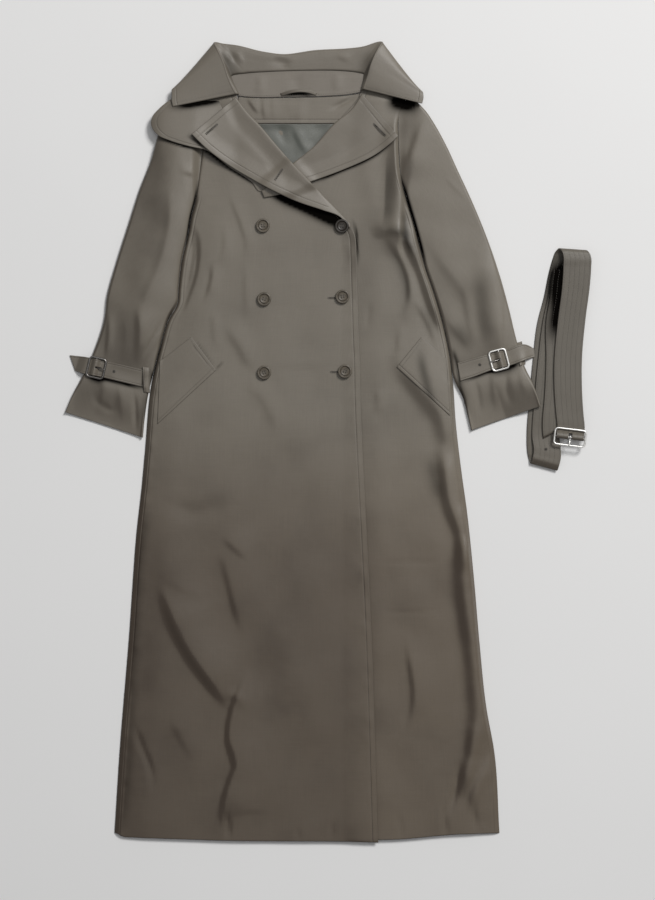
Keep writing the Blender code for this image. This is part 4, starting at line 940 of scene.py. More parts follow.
class Heights:
    """The highest cloth so far at each place, in square cells."""

    cell = 2.0
    sampling = 1.5
    half_x = 460.0
    half_y = 700.0

    def __init__(self):
        self.cells = np.zeros((int(2 * self.half_y / self.cell), int(2 * self.half_x / self.cell)))

    def place(self, points):
        return (points[..., 1] + self.half_y) / self.cell, (points[..., 0] + self.half_x) / self.cell

    def add(self, grid):
        """Takes in the upper face of a piece."""
        corners = grid[:-1, :-1], grid[:-1, 1:], grid[1:, :-1], grid[1:, 1:]
        longest = [np.linalg.norm(np.diff(grid[..., :2], axis=axis), axis=2).max() for axis in (0, 1)]
        parts = [int(length / self.sampling) + 2 for length in longest]
        for up in np.linspace(0.0, 1.0, parts[0]):
            left = corners[0] * (1 - up) + corners[2] * up
            right = corners[1] * (1 - up) + corners[3] * up
            for over in np.linspace(0.0, 1.0, parts[1]):
                points = left * (1 - over) + right * over
                row, column = self.place(points)
                np.maximum.at(self.cells, (row.astype(int), column.astype(int)), points[..., 2])

    def under(self, points, reach):
        """The cloth below each point, smoothed, and nowhere lower than it is."""
        count = max(1, math.ceil(reach / self.cell))
        smooth = self.cells
        for blend in (np.max, np.mean):
            for axis in (0, 1):
                shifted = [np.roll(smooth, shift, axis=axis) for shift in range(-count, count + 1)]
                smooth = blend(shifted, axis=0)
        row, column = self.place(points)
        row, column = row - 0.5, column - 0.5
        low, left = np.floor(row).astype(int), np.floor(column).astype(int)
        up, over = row - low, column - left
        below = smooth[low, left] * (1 - over) + smooth[low, left + 1] * over
        above = smooth[low + 1, left] * (1 - over) + smooth[low + 1, left + 1] * over
        return below * (1 - up) + above * up

    def rest(self, points, reach=6.0, thick=CLOTH, gap=LAY_GAP):
        """The middle heights of a sheet laid on what is there."""
        return self.under(points, reach) + gap + thick / 2


def surface_normals(grid):
    """The direction square to the grid at each of its points."""
    rows = np.gradient(grid, axis=0)
    columns = np.gradient(grid, axis=1)
    normals = np.cross(columns, rows)
    return normals / np.maximum(np.linalg.norm(normals, axis=2, keepdims=True), 1e-9)


def run_along(grid, axis):
    """How far each point is from the first one along its row or column."""
    steps = np.linalg.norm(np.diff(grid, axis=axis), axis=2)
    start = np.zeros_like(np.take(steps, [0], axis=axis))
    return np.concatenate([start, np.cumsum(steps, axis=axis)], axis=axis)


def from_rim(over, along):
    """How far each point is from the nearest edge of its grid."""
    return np.minimum.reduce([over, over[:, -1:] - over, along, along[-1:] - along])


def wall_faces(kept):
    """Faces of both sides of a grid of cells and of the walls round the cells that are kept."""
    rows, columns = kept.shape
    wide = columns + 1
    count = (rows + 1) * wide
    row, column = np.nonzero(kept)
    first = row * wide + column
    top = np.stack([first, first + 1, first + wide + 1, first + wide], axis=1)
    faces = [top, count + top[:, ::-1]]
    ring = np.pad(kept, 1)
    low, high = ring[:-1, 1:-1], ring[1:, 1:-1]
    left, right = ring[1:-1, :-1], ring[1:-1, 1:]
    for here, there, step, ahead in (
        (high, low, 1, True), (low, high, 1, False), (left, right, wide, True), (right, left, wide, False),
    ):
        row, column = np.nonzero(here & ~there)
        start = row * wide + column
        end = start + step
        if not ahead:
            start, end = end, start
        faces.append(np.stack([end, start, count + start, count + end], axis=1))
    return np.vstack(faces)


def linked(name, data, material=None):
    """A new object in the scene."""
    obj = bpy.data.objects.new(name, data)
    if material is not None:
        data.materials.append(material)
    bpy.context.scene.collection.objects.link(obj)
    return obj


def plain_mesh(name, points, faces):
    """A mesh of points in millimetres."""
    mesh = bpy.data.meshes.new(name)
    mesh.from_pydata((np.asarray(points, dtype=float) * MM).tolist(), [], faces)
    return mesh


def add_mesh(name, points, faces, material, uv=None, marks=None, shade=None):
    """A smooth mesh, turned so that its faces look outward."""
    points = np.asarray(points, dtype=float)
    faces = np.asarray(faces)
    used, inverse = np.unique(faces, return_inverse=True)
    faces = inverse.reshape(faces.shape)
    points = points[used]
    corner = points[faces]
    spokes = [np.cross(corner[:, 1], corner[:, step]) for step in range(2, faces.shape[1])]
    volume = (corner[:, 0] * spokes[0]).sum()
    if len(spokes) > 1:
        volume += (corner[:, 0] * np.cross(corner[:, 2], corner[:, 3])).sum()
    if volume < 0:
        faces = faces[:, ::-1]
    mesh = plain_mesh(name, points, faces.tolist())
    if uv is not None:
        layer = mesh.uv_layers.new(name="UVMap")
        layer.data.foreach_set("uv", (uv[used][faces.reshape(-1)]).astype(np.float32).ravel())
    for key, values in (("marks", marks), ("shade", shade)):
        if values is not None:
            mesh.attributes.new(key, "FLOAT", "POINT").data.foreach_set(
                "value", values[used].astype(np.float32)
            )
    mesh.shade_smooth()
    return linked(name, mesh, material)


def add_skins(name, skins, faces, material, uv, marks, shade):
    """A mesh of two skins of cloth, which have the same place in the weave, painted shade on rims and
    stitching, and painted deep shade.
    """
    points = np.vstack([skin.reshape(-1, 3) for skin in skins])
    both = [np.tile(values.ravel(), 2) for values in (marks, shade)]
    return add_mesh(name, points, faces, material, np.vstack([uv.reshape(-1, 2)] * 2), *both)


def finished(obj, slot, *nodes, body="coat"):
    """The object with its body and the nodes of the frame that it stands for. The slot is not used."""
    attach(obj, body)
    if nodes:
        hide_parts(*nodes)
    return obj


def add_cloth(node, grid, material, thick=CLOTH, kept=None, lines=None, slot="shell_cloth"):
    """A closed piece of cloth round a grid of middle points, with round edges. Gives its upper face."""
    over = run_along(grid, 1)
    along = run_along(grid, 0)
    rim = from_rim(over, along)
    half = thick / 2 * (RIM_LEFT + (1 - RIM_LEFT) * rounded(rim / RIM_RADIUS))
    offset = surface_normals(grid) * half[..., None]
    sign = 1.0 if offset[..., 2].mean() > 0 else -1.0
    upper, lower = grid + sign * offset, grid - sign * offset
    uv = np.stack([over - over[:, -1:] / 2, along[:, [along.shape[1] // 2]] + 0 * over], axis=2)
    # Painted shade: the rims are darkened, and so are the lines of stitching
    rim_shade = np.exp(-rim / RIM_SHADE_REACH)
    marks = rim_shade if lines is None else np.where(lines > LINE_LEAST, -lines, rim_shade)
    if kept is None:
        kept = np.ones((grid.shape[0] - 1, grid.shape[1] - 1), dtype=bool)
    faces = wall_faces(kept)
    shade = shade_at(node, grid)
    obj = add_skins(f"{node}_cloth", (upper, lower), faces, material, uv, marks, shade)
    finished(obj, slot, node)
    return upper


def lay(cloth, node, plan, height, material, **settings):
    """A piece laid on the cloth there, which then counts as there too. Gives its upper face."""
    upper = add_cloth(node, with_height(plan, height), material, **settings)
    cloth.add(upper)
    return upper


class Sewing:
    """Stitches collected along lines, then made into one mesh."""

    def __init__(self):
        self.starts = []
        self.ends = []

    def along(self, line, lift=0.05):
        """Adds even stitches along a line, a little above it."""
        line = np.asarray(line, dtype=float)
        steps = np.linalg.norm(np.diff(line, axis=0), axis=1)
        stations = np.concatenate(([0.0], np.cumsum(steps)))
        middles = np.arange(STITCH_PITCH / 2, stations[-1] - STITCH_LONG / 2, STITCH_PITCH)
        for stitches, shift in ((self.starts, -0.5), (self.ends, 0.5)):
            wanted = middles + shift * STITCH_LONG
            places = [np.interp(wanted, stations, line[:, axis]) for axis in range(3)]
            stitches.append(np.stack(places, axis=1) + (0.0, 0.0, lift))

    def make(self, name, material):
        """One mesh with a thin, pointed body for each stitch."""
        start, end = np.vstack(self.starts), np.vstack(self.ends)
        run = end - start
        side = np.stack([-run[:, 1], run[:, 0], 0 * run[:, 0]], axis=1)
        side /= np.maximum(np.linalg.norm(side, axis=1, keepdims=True), 1e-6)
        middle = (start + end) / 2
        up = np.array([0.0, 0.0, THREAD])
        ring = [middle + side * THREAD, middle + up, middle - side * THREAD, middle - up]
        points = np.stack([start, end, *ring], axis=1).reshape(-1, 3)
        pattern = [(0, 2, 3), (0, 3, 4), (0, 4, 5), (0, 5, 2), (1, 3, 2), (1, 4, 3), (1, 5, 4), (1, 2, 5)]
        faces = (np.arange(len(start))[:, None, None] * 6 + np.array(pattern)).reshape(-1, 3)
        return finished(add_mesh(name, points, faces, material), "shell_cloth")


class Graph:
    """A material's nodes, made in short calls."""

    def __init__(self, name):
        self.material = bpy.data.materials.new(name)
        self.material.use_nodes = True
        self.tree = self.material.node_tree
        self.shader = self.tree.nodes["Principled BSDF"]
        self.place = self.node("ShaderNodeTexCoord").outputs["Object"]

    def plug(self, socket, value):
        """Links another node's output to a socket, or gives it a constant."""
        if isinstance(value, bpy.types.NodeSocket):
            self.tree.links.new(value, socket)
        else:
            socket.default_value = value

    def node(self, kind, inputs=None, **settings):
        made = self.tree.nodes.new(kind)
        for key, value in settings.items():
            setattr(made, key, value)
        for key, value in (inputs or {}).items():
            self.plug(made.inputs[key], value)
        return made

    def math(self, operation, first, second=0.0):
        return self.node("ShaderNodeMath", {0: first, 1: second}, operation=operation).outputs[0]

    def times(self, first, second):
        return self.math("MULTIPLY", first, second)

    def add(self, total, *others):
        for other in others:
            total = self.math("ADD", total, other)
        return total

    def ranged(self, value, low, high, to_low, to_high):
        return self.node("ShaderNodeMapRange", {
            "Value": value, "From Min": low, "From Max": high, "To Min": to_low, "To Max": to_high
        }, interpolation_type="SMOOTHSTEP").outputs[0]

    def mix(self, factor, first, second, blend="MIX"):
        made = self.node("ShaderNodeMix", data_type="RGBA", blend_type=blend)
        for index, value in ((0, factor), (6, first), (7, second)):
            self.plug(made.inputs[index], value)
        return made.outputs[2]

    def noise(self, vector, scale, detail=2.0):
        inputs = {"Vector": vector, "Scale": scale, "Detail": detail}
        return self.node("ShaderNodeTexNoise", inputs).outputs[0]

    def scaled(self, vector, scale):
        return self.node("ShaderNodeMapping", {"Vector": vector, "Scale": scale}).outputs[0]

    def clouded(self, noise, low, high, colour, share):
        """A colour that turns to a share of itself as the noise goes from low to high."""
        other = [share * part for part in colour]
        return self.mix(self.ranged(noise, low, high, 0.0, 1.0), (*colour, 1.0), (*other, 1.0))

    def attribute(self, name):
        return self.node("ShaderNodeAttribute", attribute_name=name).outputs["Fac"]

    def bump(self, height, strength, distance):
        inputs = {"Height": height, "Strength": strength, "Distance": distance}
        return self.node("ShaderNodeBump", inputs).outputs[0]

    def set(self, **sockets):
        for key, value in sockets.items():
            self.plug(self.shader.inputs[key.replace("_", " ")], value)
        return self.material


def cloth_material(name, lit, shaded, pitch, roughness, sheen, fine, swing=0.4):
    """Woven cloth with painted light and shade: its colour turns from a lit colour to a shaded one as it
    tilts from the light.
    """
    graph = Graph(name)
    uv = graph.node("ShaderNodeUVMap", uv_map="UVMap").outputs[0]
    parts = graph.node("ShaderNodeSeparateXYZ", {0: uv}).outputs
    warp, weft = [graph.math("SINE", graph.times(parts[axis], 2 * math.pi / pitch)) for axis in (0, 1)]
    weave = graph.times(warp, weft)
    slubs = graph.add(*[graph.noise(graph.scaled(uv, scale), 1.0, 3.0) for scale in SLUB_SCALES])
    patches = graph.noise(graph.place, 7.0, 3.0)
    crumple = graph.noise(graph.place, 42.0, 3.0)
    facets = graph.noise(graph.place, 26.0, 4.0)
    normal = graph.node("ShaderNodeNewGeometry").outputs["Normal"]
    turned = graph.node("ShaderNodeVectorMath", {0: normal, 1: LIGHTWARD}, operation="DOT_PRODUCT")
    toned = graph.add(
        turned.outputs["Value"],
        graph.ranged(patches, 0.3, 0.7, -0.02, 0.02),
        graph.ranged(facets, 0.35, 0.65, -0.012, 0.008),
    )
    # Painted light and shade: the tone rises up the coat, sinks at its far left and rises a little low on
    # its right
    where = graph.node("ShaderNodeSeparateXYZ", {0: graph.place}).outputs
    upward = graph.ranged(where[1], -0.25, 0.10, 0.0, 1.0)
    rightward = graph.times(
        graph.ranged(where[0], 0.02, 0.10, 0.0, 1.0), graph.ranged(where[1], -0.10, 0.08, 0.13, 0.02)
    )
    tone = graph.add(
        graph.ranged(toned, 0.56, 0.745, LEVEL_TONE - swing, LEVEL_TONE),
        graph.times(upward, 0.43),
        graph.ranged(where[0], -0.36, -0.18, -0.11, -0.01),
        rightward,
    )
    colour = graph.mix(tone, (*shaded, 1.0), (*lit, 1.0))
    # Painted shade: toward the hem the cloth is warmer and browner
    tint = graph.mix(upward, (1.05, 0.97, 0.88, 1.0), (1.0, 1.0, 0.99, 1.0))
    colour = graph.mix(1.0, colour, tint, "MULTIPLY")
    # Painted shade: rims darken by up to 22% and stitch lines by up to 10%
    marks = graph.attribute("marks")
    value = graph.add(
        graph.ranged(slubs, 0.7, 1.3, 1 - fine, 1 + fine),
        graph.times(weave, fine),
        graph.ranged(patches, 0.3, 0.7, -0.03, 0.03),
        graph.ranged(marks, 0.0, 1.0, 0.0, -0.22),
        graph.ranged(marks, -1.0, 0.0, -0.10, 0.0),
    )
    grey = graph.node("ShaderNodeCombineColor", {0: value, 1: value, 2: value}).outputs[0]
    height = graph.add(graph.times(weave, 0.05), graph.times(slubs, 0.08), graph.times(crumple, 0.9))
    made = graph.set(
        Base_Color=graph.mix(1.0, colour, grey, "MULTIPLY"), Roughness=roughness, Sheen_Weight=sheen,
        Sheen_Roughness=0.4, Specular_IOR_Level=0.6, Normal=graph.bump(height, 0.5, 0.0007),
    )
    # Painted shade: the shade attribute mixes in a near-black diffuse
    dark = graph.node("ShaderNodeBsdfDiffuse", {"Color": DEEP_SHADE}).outputs[0]
    mixed = graph.node("ShaderNodeMixShader", {
        0: graph.attribute("shade"), 1: graph.shader.outputs[0], 2: dark
    })
    graph.plug(graph.tree.nodes["Material Output"].inputs["Surface"], mixed.outputs[0])
    return made


def metal_material(name, colour, roughness):
    """Steel brushed along its faces and a little worn."""
    graph = Graph(name)
    brushed = graph.noise(graph.scaled(graph.place, (2500.0, 400.0, 2500.0)), 1.0)
    worn = graph.noise(graph.place, 90.0)
    return graph.set(
        Base_Color=graph.clouded(worn, 0.35, 0.7, colour, 0.92), Metallic=1.0,
        Roughness=graph.ranged(worn, 0.3, 0.7, roughness, roughness + 0.12),
        Normal=graph.bump(brushed, 0.008, 0.0001),
    )


def resin_material(name, colour):
    """Button resin with faint clouds like horn."""
    graph = Graph(name)
    clouds = graph.noise(graph.scaled(graph.place, (90.0, 240.0, 90.0)), 1.0, 4.0)
    return graph.set(
        Base_Color=graph.clouded(clouds, 0.35, 0.65, colour, 1.45), Roughness=0.42, Coat_Weight=0.08,
        Coat_Roughness=0.25, Specular_IOR_Level=0.4,
        Normal=graph.bump(graph.noise(graph.place, 900.0), 0.08, 0.0002),
    )


def thread_material(name, colour):
    """Thread whose twist shows as darker flecks."""
    graph = Graph(name)
    tint = graph.clouded(graph.noise(graph.place, 1800.0), 0.3, 0.7, colour, 0.7)
    return graph.set(Base_Color=tint, Roughness=0.5, Sheen_Weight=0.2)


def floor_material(name, colour):
    """Pale paper with the faintest clouds."""
    graph = Graph(name)
    tint = graph.clouded(graph.noise(graph.place, 2.0), 0.3, 0.7, colour, 0.985)
    return graph.set(Base_Color=tint, Roughness=0.85, Specular_IOR_Level=0.2)


SHELL, PRESSED, STAND_SHELL, BELT_SHELL, SATIN = [cloth_material(*row) for row in WEAVES]
THREADS = thread_material("sewing_thread", (0.105, 0.093, 0.077))
# Painted shade: near-black for the plates inside slits and eyelets
DARK = thread_material("slit_shadow", (0.044, 0.038, 0.031))
RESIN = resin_material("button_resin_clouded", (0.086, 0.073, 0.056))
RESIN_SHADED = resin_material("button_resin_shaded", (0.024, 0.020, 0.016))
STEEL = metal_material("buckle_steel_brushed", (0.90, 0.89, 0.86), 0.34)
# Painted shade: a dark copy of the steel, with painted dark reflection, for the right cuff's buckle and
# the prongs of both cuffs
SHADED_STEEL = metal_material("buckle_steel_dulled", (0.20, 0.19, 0.18), 0.30)

sewing = Sewing()
belt_sewing = Sewing()


def build_back(cloth):
    """The back, just inside the sides of the fronts, with a seam down its middle."""
    up = BACK_LOW_Y + graded(BACK_LENGTH, EDGE, EDGE, BACK_STEP)
    share = np.concatenate([np.linspace(start, end, count)[:-1] for start, end, count in BACK_COLUMNS])
    share = np.append(share, 1.0)
    edges = []
    for table, inset in ((FRONT_RIGHT, BACK_INSET), (FRONT_LEFT, -BACK_INSET)):
        rows = smooth_spans(table, SIDE_PARTS)
        edges.append(np.interp(up, rows[:, 1], rows[:, 0]) + inset)
    width = (edges[1] - edges[0])[:, None]
    middle = np.minimum(1.0, np.minimum(share, 1 - share) / BACK_CORNER)
    dip = BACK_HEM_DIP * ramp(-up, BACK_HEM_FROM, BACK_HEM_SLOPE)
    rise = -dip + BACK_NECK_RISE * ramp(up, BACK_NECK_FROM, BACK_NECK_SLOPE)
    plan_x = edges[0][:, None] + width * share
    plan_y = up[:, None] + rise[:, None] * middle
    seam = bell(np.abs(share - 0.5) * width, BACK_SEAM_WIDTH)
    height = np.full(plan_x.shape, CLOTH / 2) + BACK_SEAM_RISE * seam
    grid = np.stack([plan_x, plan_y, height], axis=2)
    cloth.add(add_cloth("back_panel", grid, SHELL, lines=seam))


def build_neck_inside(cloth):
    """The facing and the lining that show inside the neck, on the back panel."""
    facing = [Strip(row.start_x, FACING_LOW_Y, row.start_x, row.start_y - NECK_SEAM) for row in NECK]
    distances, plan = laid_out(facing, FACED, EDGE, step=2.2)[1:]
    stitch = bell(distances - FACING_LINE, STITCH_WIDTH)
    height = cloth.rest(plan, reach=4.0) + crease_height(plan, CREASES_FACING) - SOFT_DEPTH * stitch
    upper = lay(cloth, "neck_facing", plan, height, SHELL, lines=stitch)
    sewing.along(upper[:, FACED.index(FACING_LINE)])
    plan = laid_out(LINING, EDGE, EDGE, step=3.0)[2]
    waves = ripple(plan, 5, LINING_WAVES)
    height = cloth.rest(plan, reach=4.0) + crease_height(plan, CREASES_LINING) + waves
    lay(cloth, "lining", plan, height, SATIN, thick=LINING_THICK, slot="lining_cloth")


def build_front(cloth, node, table, creases, armhole_y, seed, reach, hem, covered):
    """A front that reaches down past the edge of the back, or is sewn to its sleeve."""
    lengths, distances, plan = laid_out(table, SEAMED, STITCHED, STEP)
    inner = lengths[:, None] - distances
    bow = ramp(distances, hem.start, hem.rising) * (1 - ramp(distances, hem.end, hem.falling))
    plan[..., 1] -= hem.drop * bow * (1 - ramp(plan[..., 1], HEM_Y, HEM_REACH))
    free = ramp(-plan[:, :1, 1], -armhole_y - ARMHOLE_REACH, 2 * ARMHOLE_REACH)
    radius = SIDE_RADIUS - SIDE_TIGHTER * ramp(plan[:, :1, 1], TIGHT_FROM_Y, TIGHT_SLOPE)
    turned = SIDE_RISE * (1 - (1 - np.clip(distances / radius, 0.0, 1.0)) ** SIDE_POWER)
    sewn = SIDE_RISE - SEAM_DROP * (1 - rounded(distances / SEAM_RADIUS))
    rise = CLOTH / 2 + free * turned + (1 - free) * sewn + BODY_RISE * smoothstep(distances / BODY_REACH)
    rise = rise - SHOULDER_DROP * ramp(plan[..., 1], SHOULDER_Y, SHOULDER_SLOPE)
    hidden = covered * smoothstep((COVERED_X - plan[..., 0]) / COVERED_SLOPE)
    rise = rise - SHOULDER_DROP * hidden
    below = cloth.rest(plan, reach)
    height = np.maximum(rise, below * (1 - free * (1 - smoothstep(distances / SIDE_RADIUS))))
    calm = smoothstep(distances / CALM_SIDE) * smoothstep(inner / CALM_EDGE)
    height += calm * (1 - hidden) * (crease_height(plan, creases) + ripple(plan, seed, BODY_WAVES))
    height += ripple(plan, seed + 1, EDGE_PUCKER) * bell(inner - STITCH_LINE, PUCKER_EDGE)
    height += free * ripple(plan, seed + 2, SIDE_PUCKER) * bell(distances - SIDE_SEAM, PUCKER_SIDE)
    stitch = bell(inner - STITCH_LINE, STITCH_WIDTH)
    seam = free * bell(distances - SIDE_SEAM, SEAM_WIDTH)
    height += -STITCH_DEPTH * stitch - STITCH_DEPTH * seam
    height = np.maximum(height, CLOTH / 2)
    upper = lay(cloth, node, plan, height, SHELL, lines=np.maximum(stitch, seam))
    sewing.along(upper[:, -1 - STITCH_COLUMN])


def sleeve_rings(rows, creases, pressed, seed, inset):
    """Points round each ring of a sleeve, from its lower face up over the far side."""
    turn = np.radians(np.linspace(*SIDE_TURNS))
    side = np.zeros(len(turn))
    crown = np.concatenate([np.zeros(SLEEVE_LOW), side, np.ones(SLEEVE_HIGH), side])
    rings = []
    reach = run_along(np.stack([(rows[:, 0:2] + rows[:, 2:4]) / 2], axis=1), 0)[:, 0]
    for row, station in zip(rows, reach):
        ring = Sleeve(*row)
        start = np.array([ring.outer_x, ring.outer_y])
        run = np.array([ring.inner_x, ring.inner_y]) - start
        width = np.linalg.norm(run)
        run = run / width
        tall = SLEEVE_TALL + SLEEVE_TALLER * smoothstep(station / SLEEVE_TALLER_BY)
        middle = tall / 2
        radius = middle - inset
        distance = np.concatenate([
            np.linspace(middle, width - middle, SLEEVE_LOW),
            width - middle + radius * np.cos(turn),
            np.linspace(width - middle, middle, SLEEVE_HIGH),
            middle - radius * np.cos(turn[::-1]),
        ])
        height = np.concatenate([
            np.full(SLEEVE_LOW, inset),
            middle + radius * np.sin(turn),
            np.full(SLEEVE_HIGH, tall - inset),
            middle + radius * np.sin(turn[::-1]),
        ])
        share = np.clip(distance / width, 0.0, 1.0)
        sideways = ring.bow * 4 * share * (1 - share)
        plan = start + run * distance[:, None] + np.array([run[1], -run[0]]) * sideways[:, None]
        middle_share = np.sin(math.pi * share)
        arch = crown * (SLEEVE_ARCH * middle_share ** 0.4)
        folds = crown * crease_height(plan, creases) * middle_share ** 0.3
        waves = crown * ripple(plan, seed, SLEEVE_WAVES) * middle_share ** 0.5
        drawn_in = crease_height(plan, pressed)
        level = smoothstep(station / SLEEVE_LEVEL)
        height = height + (arch + folds + waves) * level * (1 - STRAP_CALM * drawn_in)
        flatter = smoothstep((station - reach[-1] + CUFF_FROM) / CUFF_OVER)
        sunk = STRAP_SINK * drawn_in + CUFF_SINK * flatter
        height = height - crown * sunk * middle_share ** 0.3
        height = np.maximum(height, inset + crown * SLEEVE_LEAST)
        height = height + max(ring.lift, 0.0) * np.clip(1 - distance / CUFF_LIFT_REACH, 0.0, 1.0)
        rings.append(np.column_stack([plan, height]))
    return np.array(rings)


def build_sleeve(cloth, node, table, creases, pressed, outward, seed, front):
    """A flattened tube from the armhole to the cuff, open at both ends."""
    rows = smooth_curve(table, lambda stations: np.concatenate([
        graded(stations[-1] - CUFF_PART, SLEEVE_START, (0.0,), SLEEVE_STEP)[:-1],
        stations[-1] - CUFF_PART + graded(CUFF_PART, (0.0,), SLEEVE_END, CUFF_STEP),
    ]))
    beside = smooth_spans(front, SIDE_PARTS)
    beside = np.interp(rows[:, 3], beside[:, 1], beside[:, 0]) + outward * LAY_GAP
    close = ramp(rows[:, 3], 70.0, 50.0)
    rows[:, 2] += close * (beside - rows[:, 2])
    rows[:, 0] += outward * SLEEVE_OUTWARD
    outer = sleeve_rings(rows, creases, pressed, seed, 0.0)
    inner = sleeve_rings(rows, creases, pressed, seed, CLOTH)
    count, sides = outer.shape[:2]
    row, side = np.meshgrid(np.arange(count - 1), np.arange(sides), indexing="ij")
    first = (row * sides + side).ravel()
    after = (row * sides + (side + 1) % sides).ravel()
    skin = np.stack([first, after, after + sides, first + sides], axis=1)
    shift = count * sides
    mouths = []
    for at, flip in ((0, False), (count - 1, True)):
        start = at * sides + np.arange(sides)
        end = at * sides + (np.arange(sides) + 1) % sides
        if flip:
            start, end = end, start
        mouths.append(np.stack([start, shift + start, shift + end, end], axis=1))
    faces = np.vstack([skin, shift + skin[:, ::-1], *mouths])
    along = run_along(outer, 0)
    uv = np.stack([run_along(outer, 1), along], axis=2)
    # Painted shade: the sleeve is darkened at its two mouths
    marks = np.exp(-np.minimum(along, along[-1:] - along) / 1.5)
    shade = shade_at(node, outer)
    obj = add_skins(f"{node}_cloth", (outer, inner), faces, SHELL, uv, marks, shade)
    finished(obj, "shell_cloth", node)
    cloth.add(outer[:, SLEEVE_SEEN])


def build_flap(cloth):
    """The storm flap, stitched along the rows that are long enough."""
    lengths, distances, plan = laid_out(GUN_FLAP, STITCHED, EDGE, step=3.4)
    long_rows = lengths > 30
    stitch = bell(distances - STITCH_LINE, STITCH_WIDTH) * long_rows[:, None]
    height = cloth.rest(plan, reach=30.0) + ripple(plan, 31, FLAP_WAVES) - STITCH_DEPTH * stitch
    upper = lay(cloth, "gun_flap", plan, height, PRESSED, lines=stitch)
    sewing.along(upper[long_rows][:, STITCH_COLUMN])


def build_welt(cloth, node, table):
    """A pocket welt, stitched near its edges."""
    lengths, distances, plan = laid_out(table, EDGE, WELTED, step=3.4, start=WELTED)
    inner = lengths[:, None] - distances
    along = run_along(with_height(plan, 0 * distances), 0)
    stitch = np.maximum(bell(inner - WELT_LINE, 0.5), bell(along - WELT_LINE, 0.5))
    height = cloth.rest(plan, reach=4.0, thick=WELT_THICK, gap=0.05) - FINE_DEPTH * stitch
    upper = lay(cloth, node, plan, height, SHELL, thick=WELT_THICK, lines=0.7 * stitch)
    column = WELTED.index(WELT_LINE)
    sewing.along(upper[:, -1 - column])
    sewing.along(upper[column, 2:-column])


def build_lapel(cloth, node, table, lifts, seed):
    """A lapel turned back on its front: its roll goes on round and under to the front's edge."""
    rows = rows_of(table, STITCHED, EDGE, LAPEL_STEP)
    lengths = row_lengths(rows)
    full = smoothstep(lengths / LAPEL_FULL)[:, None]
    radius = LAPEL_LEAST_ROLL + LAPEL_ROLL * full
    turn = np.radians(np.array(ROLL_TURNS))
    rolled = len(turn)
    curl = radius * (1 - np.cos(turn))
    span = lengths[:, None] - radius
    distances = radius + spread(span[:, 0], LAPEL_START, STITCHED, LAPEL_STEP)
    plan = across(rows, np.hstack([curl, distances]))
    base = cloth.rest(plan, reach=6.0)
    rise = np.zeros_like(base)
    rise[:, :rolled] = radius + radius * np.sin(turn)
    inner = lengths[:, None] - distances
    falling = np.clip(1 - (distances - 4.0) / LAPEL_FALL, 0.0, 1.0) ** 1.4
    rise[:, rolled:] = 2 * radius * falling
    station = np.linspace(0.0, 1.0, len(rows))[:, None]
    lift = np.interp(station, np.linspace(0, 1, len(lifts)), lifts)
    rise[:, rolled:] += lift * (1 - smoothstep(inner / LAPEL_LIFT_REACH)) * full
    long_rows = lengths > LAPEL_LONG
    stitch = np.zeros_like(base)
    stitch[:, rolled:] = bell(inner - STITCH_LINE, STITCH_WIDTH) * long_rows[:, None]
    along = run_along(with_height(plan, 0 * base), 0)
    stitch = np.maximum(stitch, bell(along - STITCH_LINE, 0.7))
    calm = smoothstep(inner / 10.0) * smoothstep(distances / 12.0)
    height = base + rise - STITCH_DEPTH * stitch
    height[:, rolled:] += calm * ripple(plan[:, rolled:], seed, LAPEL_WAVES)
    upper = lay(cloth, node, plan, height, PRESSED, thick=FOLDED_THICK, lines=stitch)
    corner = upper.shape[1] - 1 - STITCH_COLUMN
    sewing.along(upper[STITCH_COLUMN:np.nonzero(long_rows)[0][-1], corner])
    sewing.along(upper[STITCH_COLUMN, rolled + 4:corner])


def leaf_profile(row):
    """Points from the stand seam up to the fold and down to the outer edge of the leaf."""
    leaf = Leaf(*row)
    under = np.clip(leaf.under, 0.0, 1.0)
    seam = np.array([leaf.seam_x, leaf.seam_y - LEAF_SEAM_SHORT, LEAF_SEAM_Z])
    fold = np.array([leaf.fold_x, leaf.fold_y, leaf.fold_z])
    edge = np.array([leaf.edge_x, leaf.edge_y, leaf.edge_z])
    inward = (seam - fold) / np.linalg.norm((seam - fold)[:2])
    outward = (edge - fold) / np.linalg.norm((edge - fold)[:2])
    most = LEAF_TURN_MOST * np.linalg.norm((seam - fold)[:2])
    turn = min(LEAF_TURN + LEAF_TURN_UNDER * under, most)
    before = fold + inward * turn * (1, 1, 0)
    after = fold + outward * (LEAF_AFTER + LEAF_AFTER * under) * (1, 1, 0)
    before[2] = fold[2] + under * FOLD_DROP - (1 - under) * FOLD_DROP
    after[2] = fold[2] - under * FOLD_DROP - (1 - under) * 0.5
    halfway = (seam + before) / 2 + (0.0, 0.0, 0.3 * under)
    outer = [after + (edge - after) * share for share in (0.2, 0.6, 1.0)]
    near, far = [fold + (point - fold) * (0.4, 0.4, 0.85) for point in (before, after)]
    profile = np.array([seam, halfway, before, near, fold, far, after, *outer])
    fine = smooth_curve(profile, lambda stations: np.concatenate([
        np.linspace(stations[0], stations[2], LEAF_INNER + 1)[:-1],
        np.linspace(stations[2], stations[6], LEAF_BEND)[:-1],
        stations[6] + (stations[-1] - stations[6]) * leaf_share(stations[-1] - stations[6]),
    ]))
    fine[:, 2] = np.maximum(fine[:, 2], CLOTH / 2)
    return fine


def leaf_share(length):
    """Shares of the way from the fold to the outer edge, close ones at the stitching."""
    near_edge = np.array(LEAF_ENDS)
    near_edge = np.minimum(near_edge, near_edge * length / 30.0)
    even = np.linspace(0, 1 - near_edge[0] / length, LEAF_OUTER)[:-1]
    return np.concatenate([even, 1 - near_edge / length])


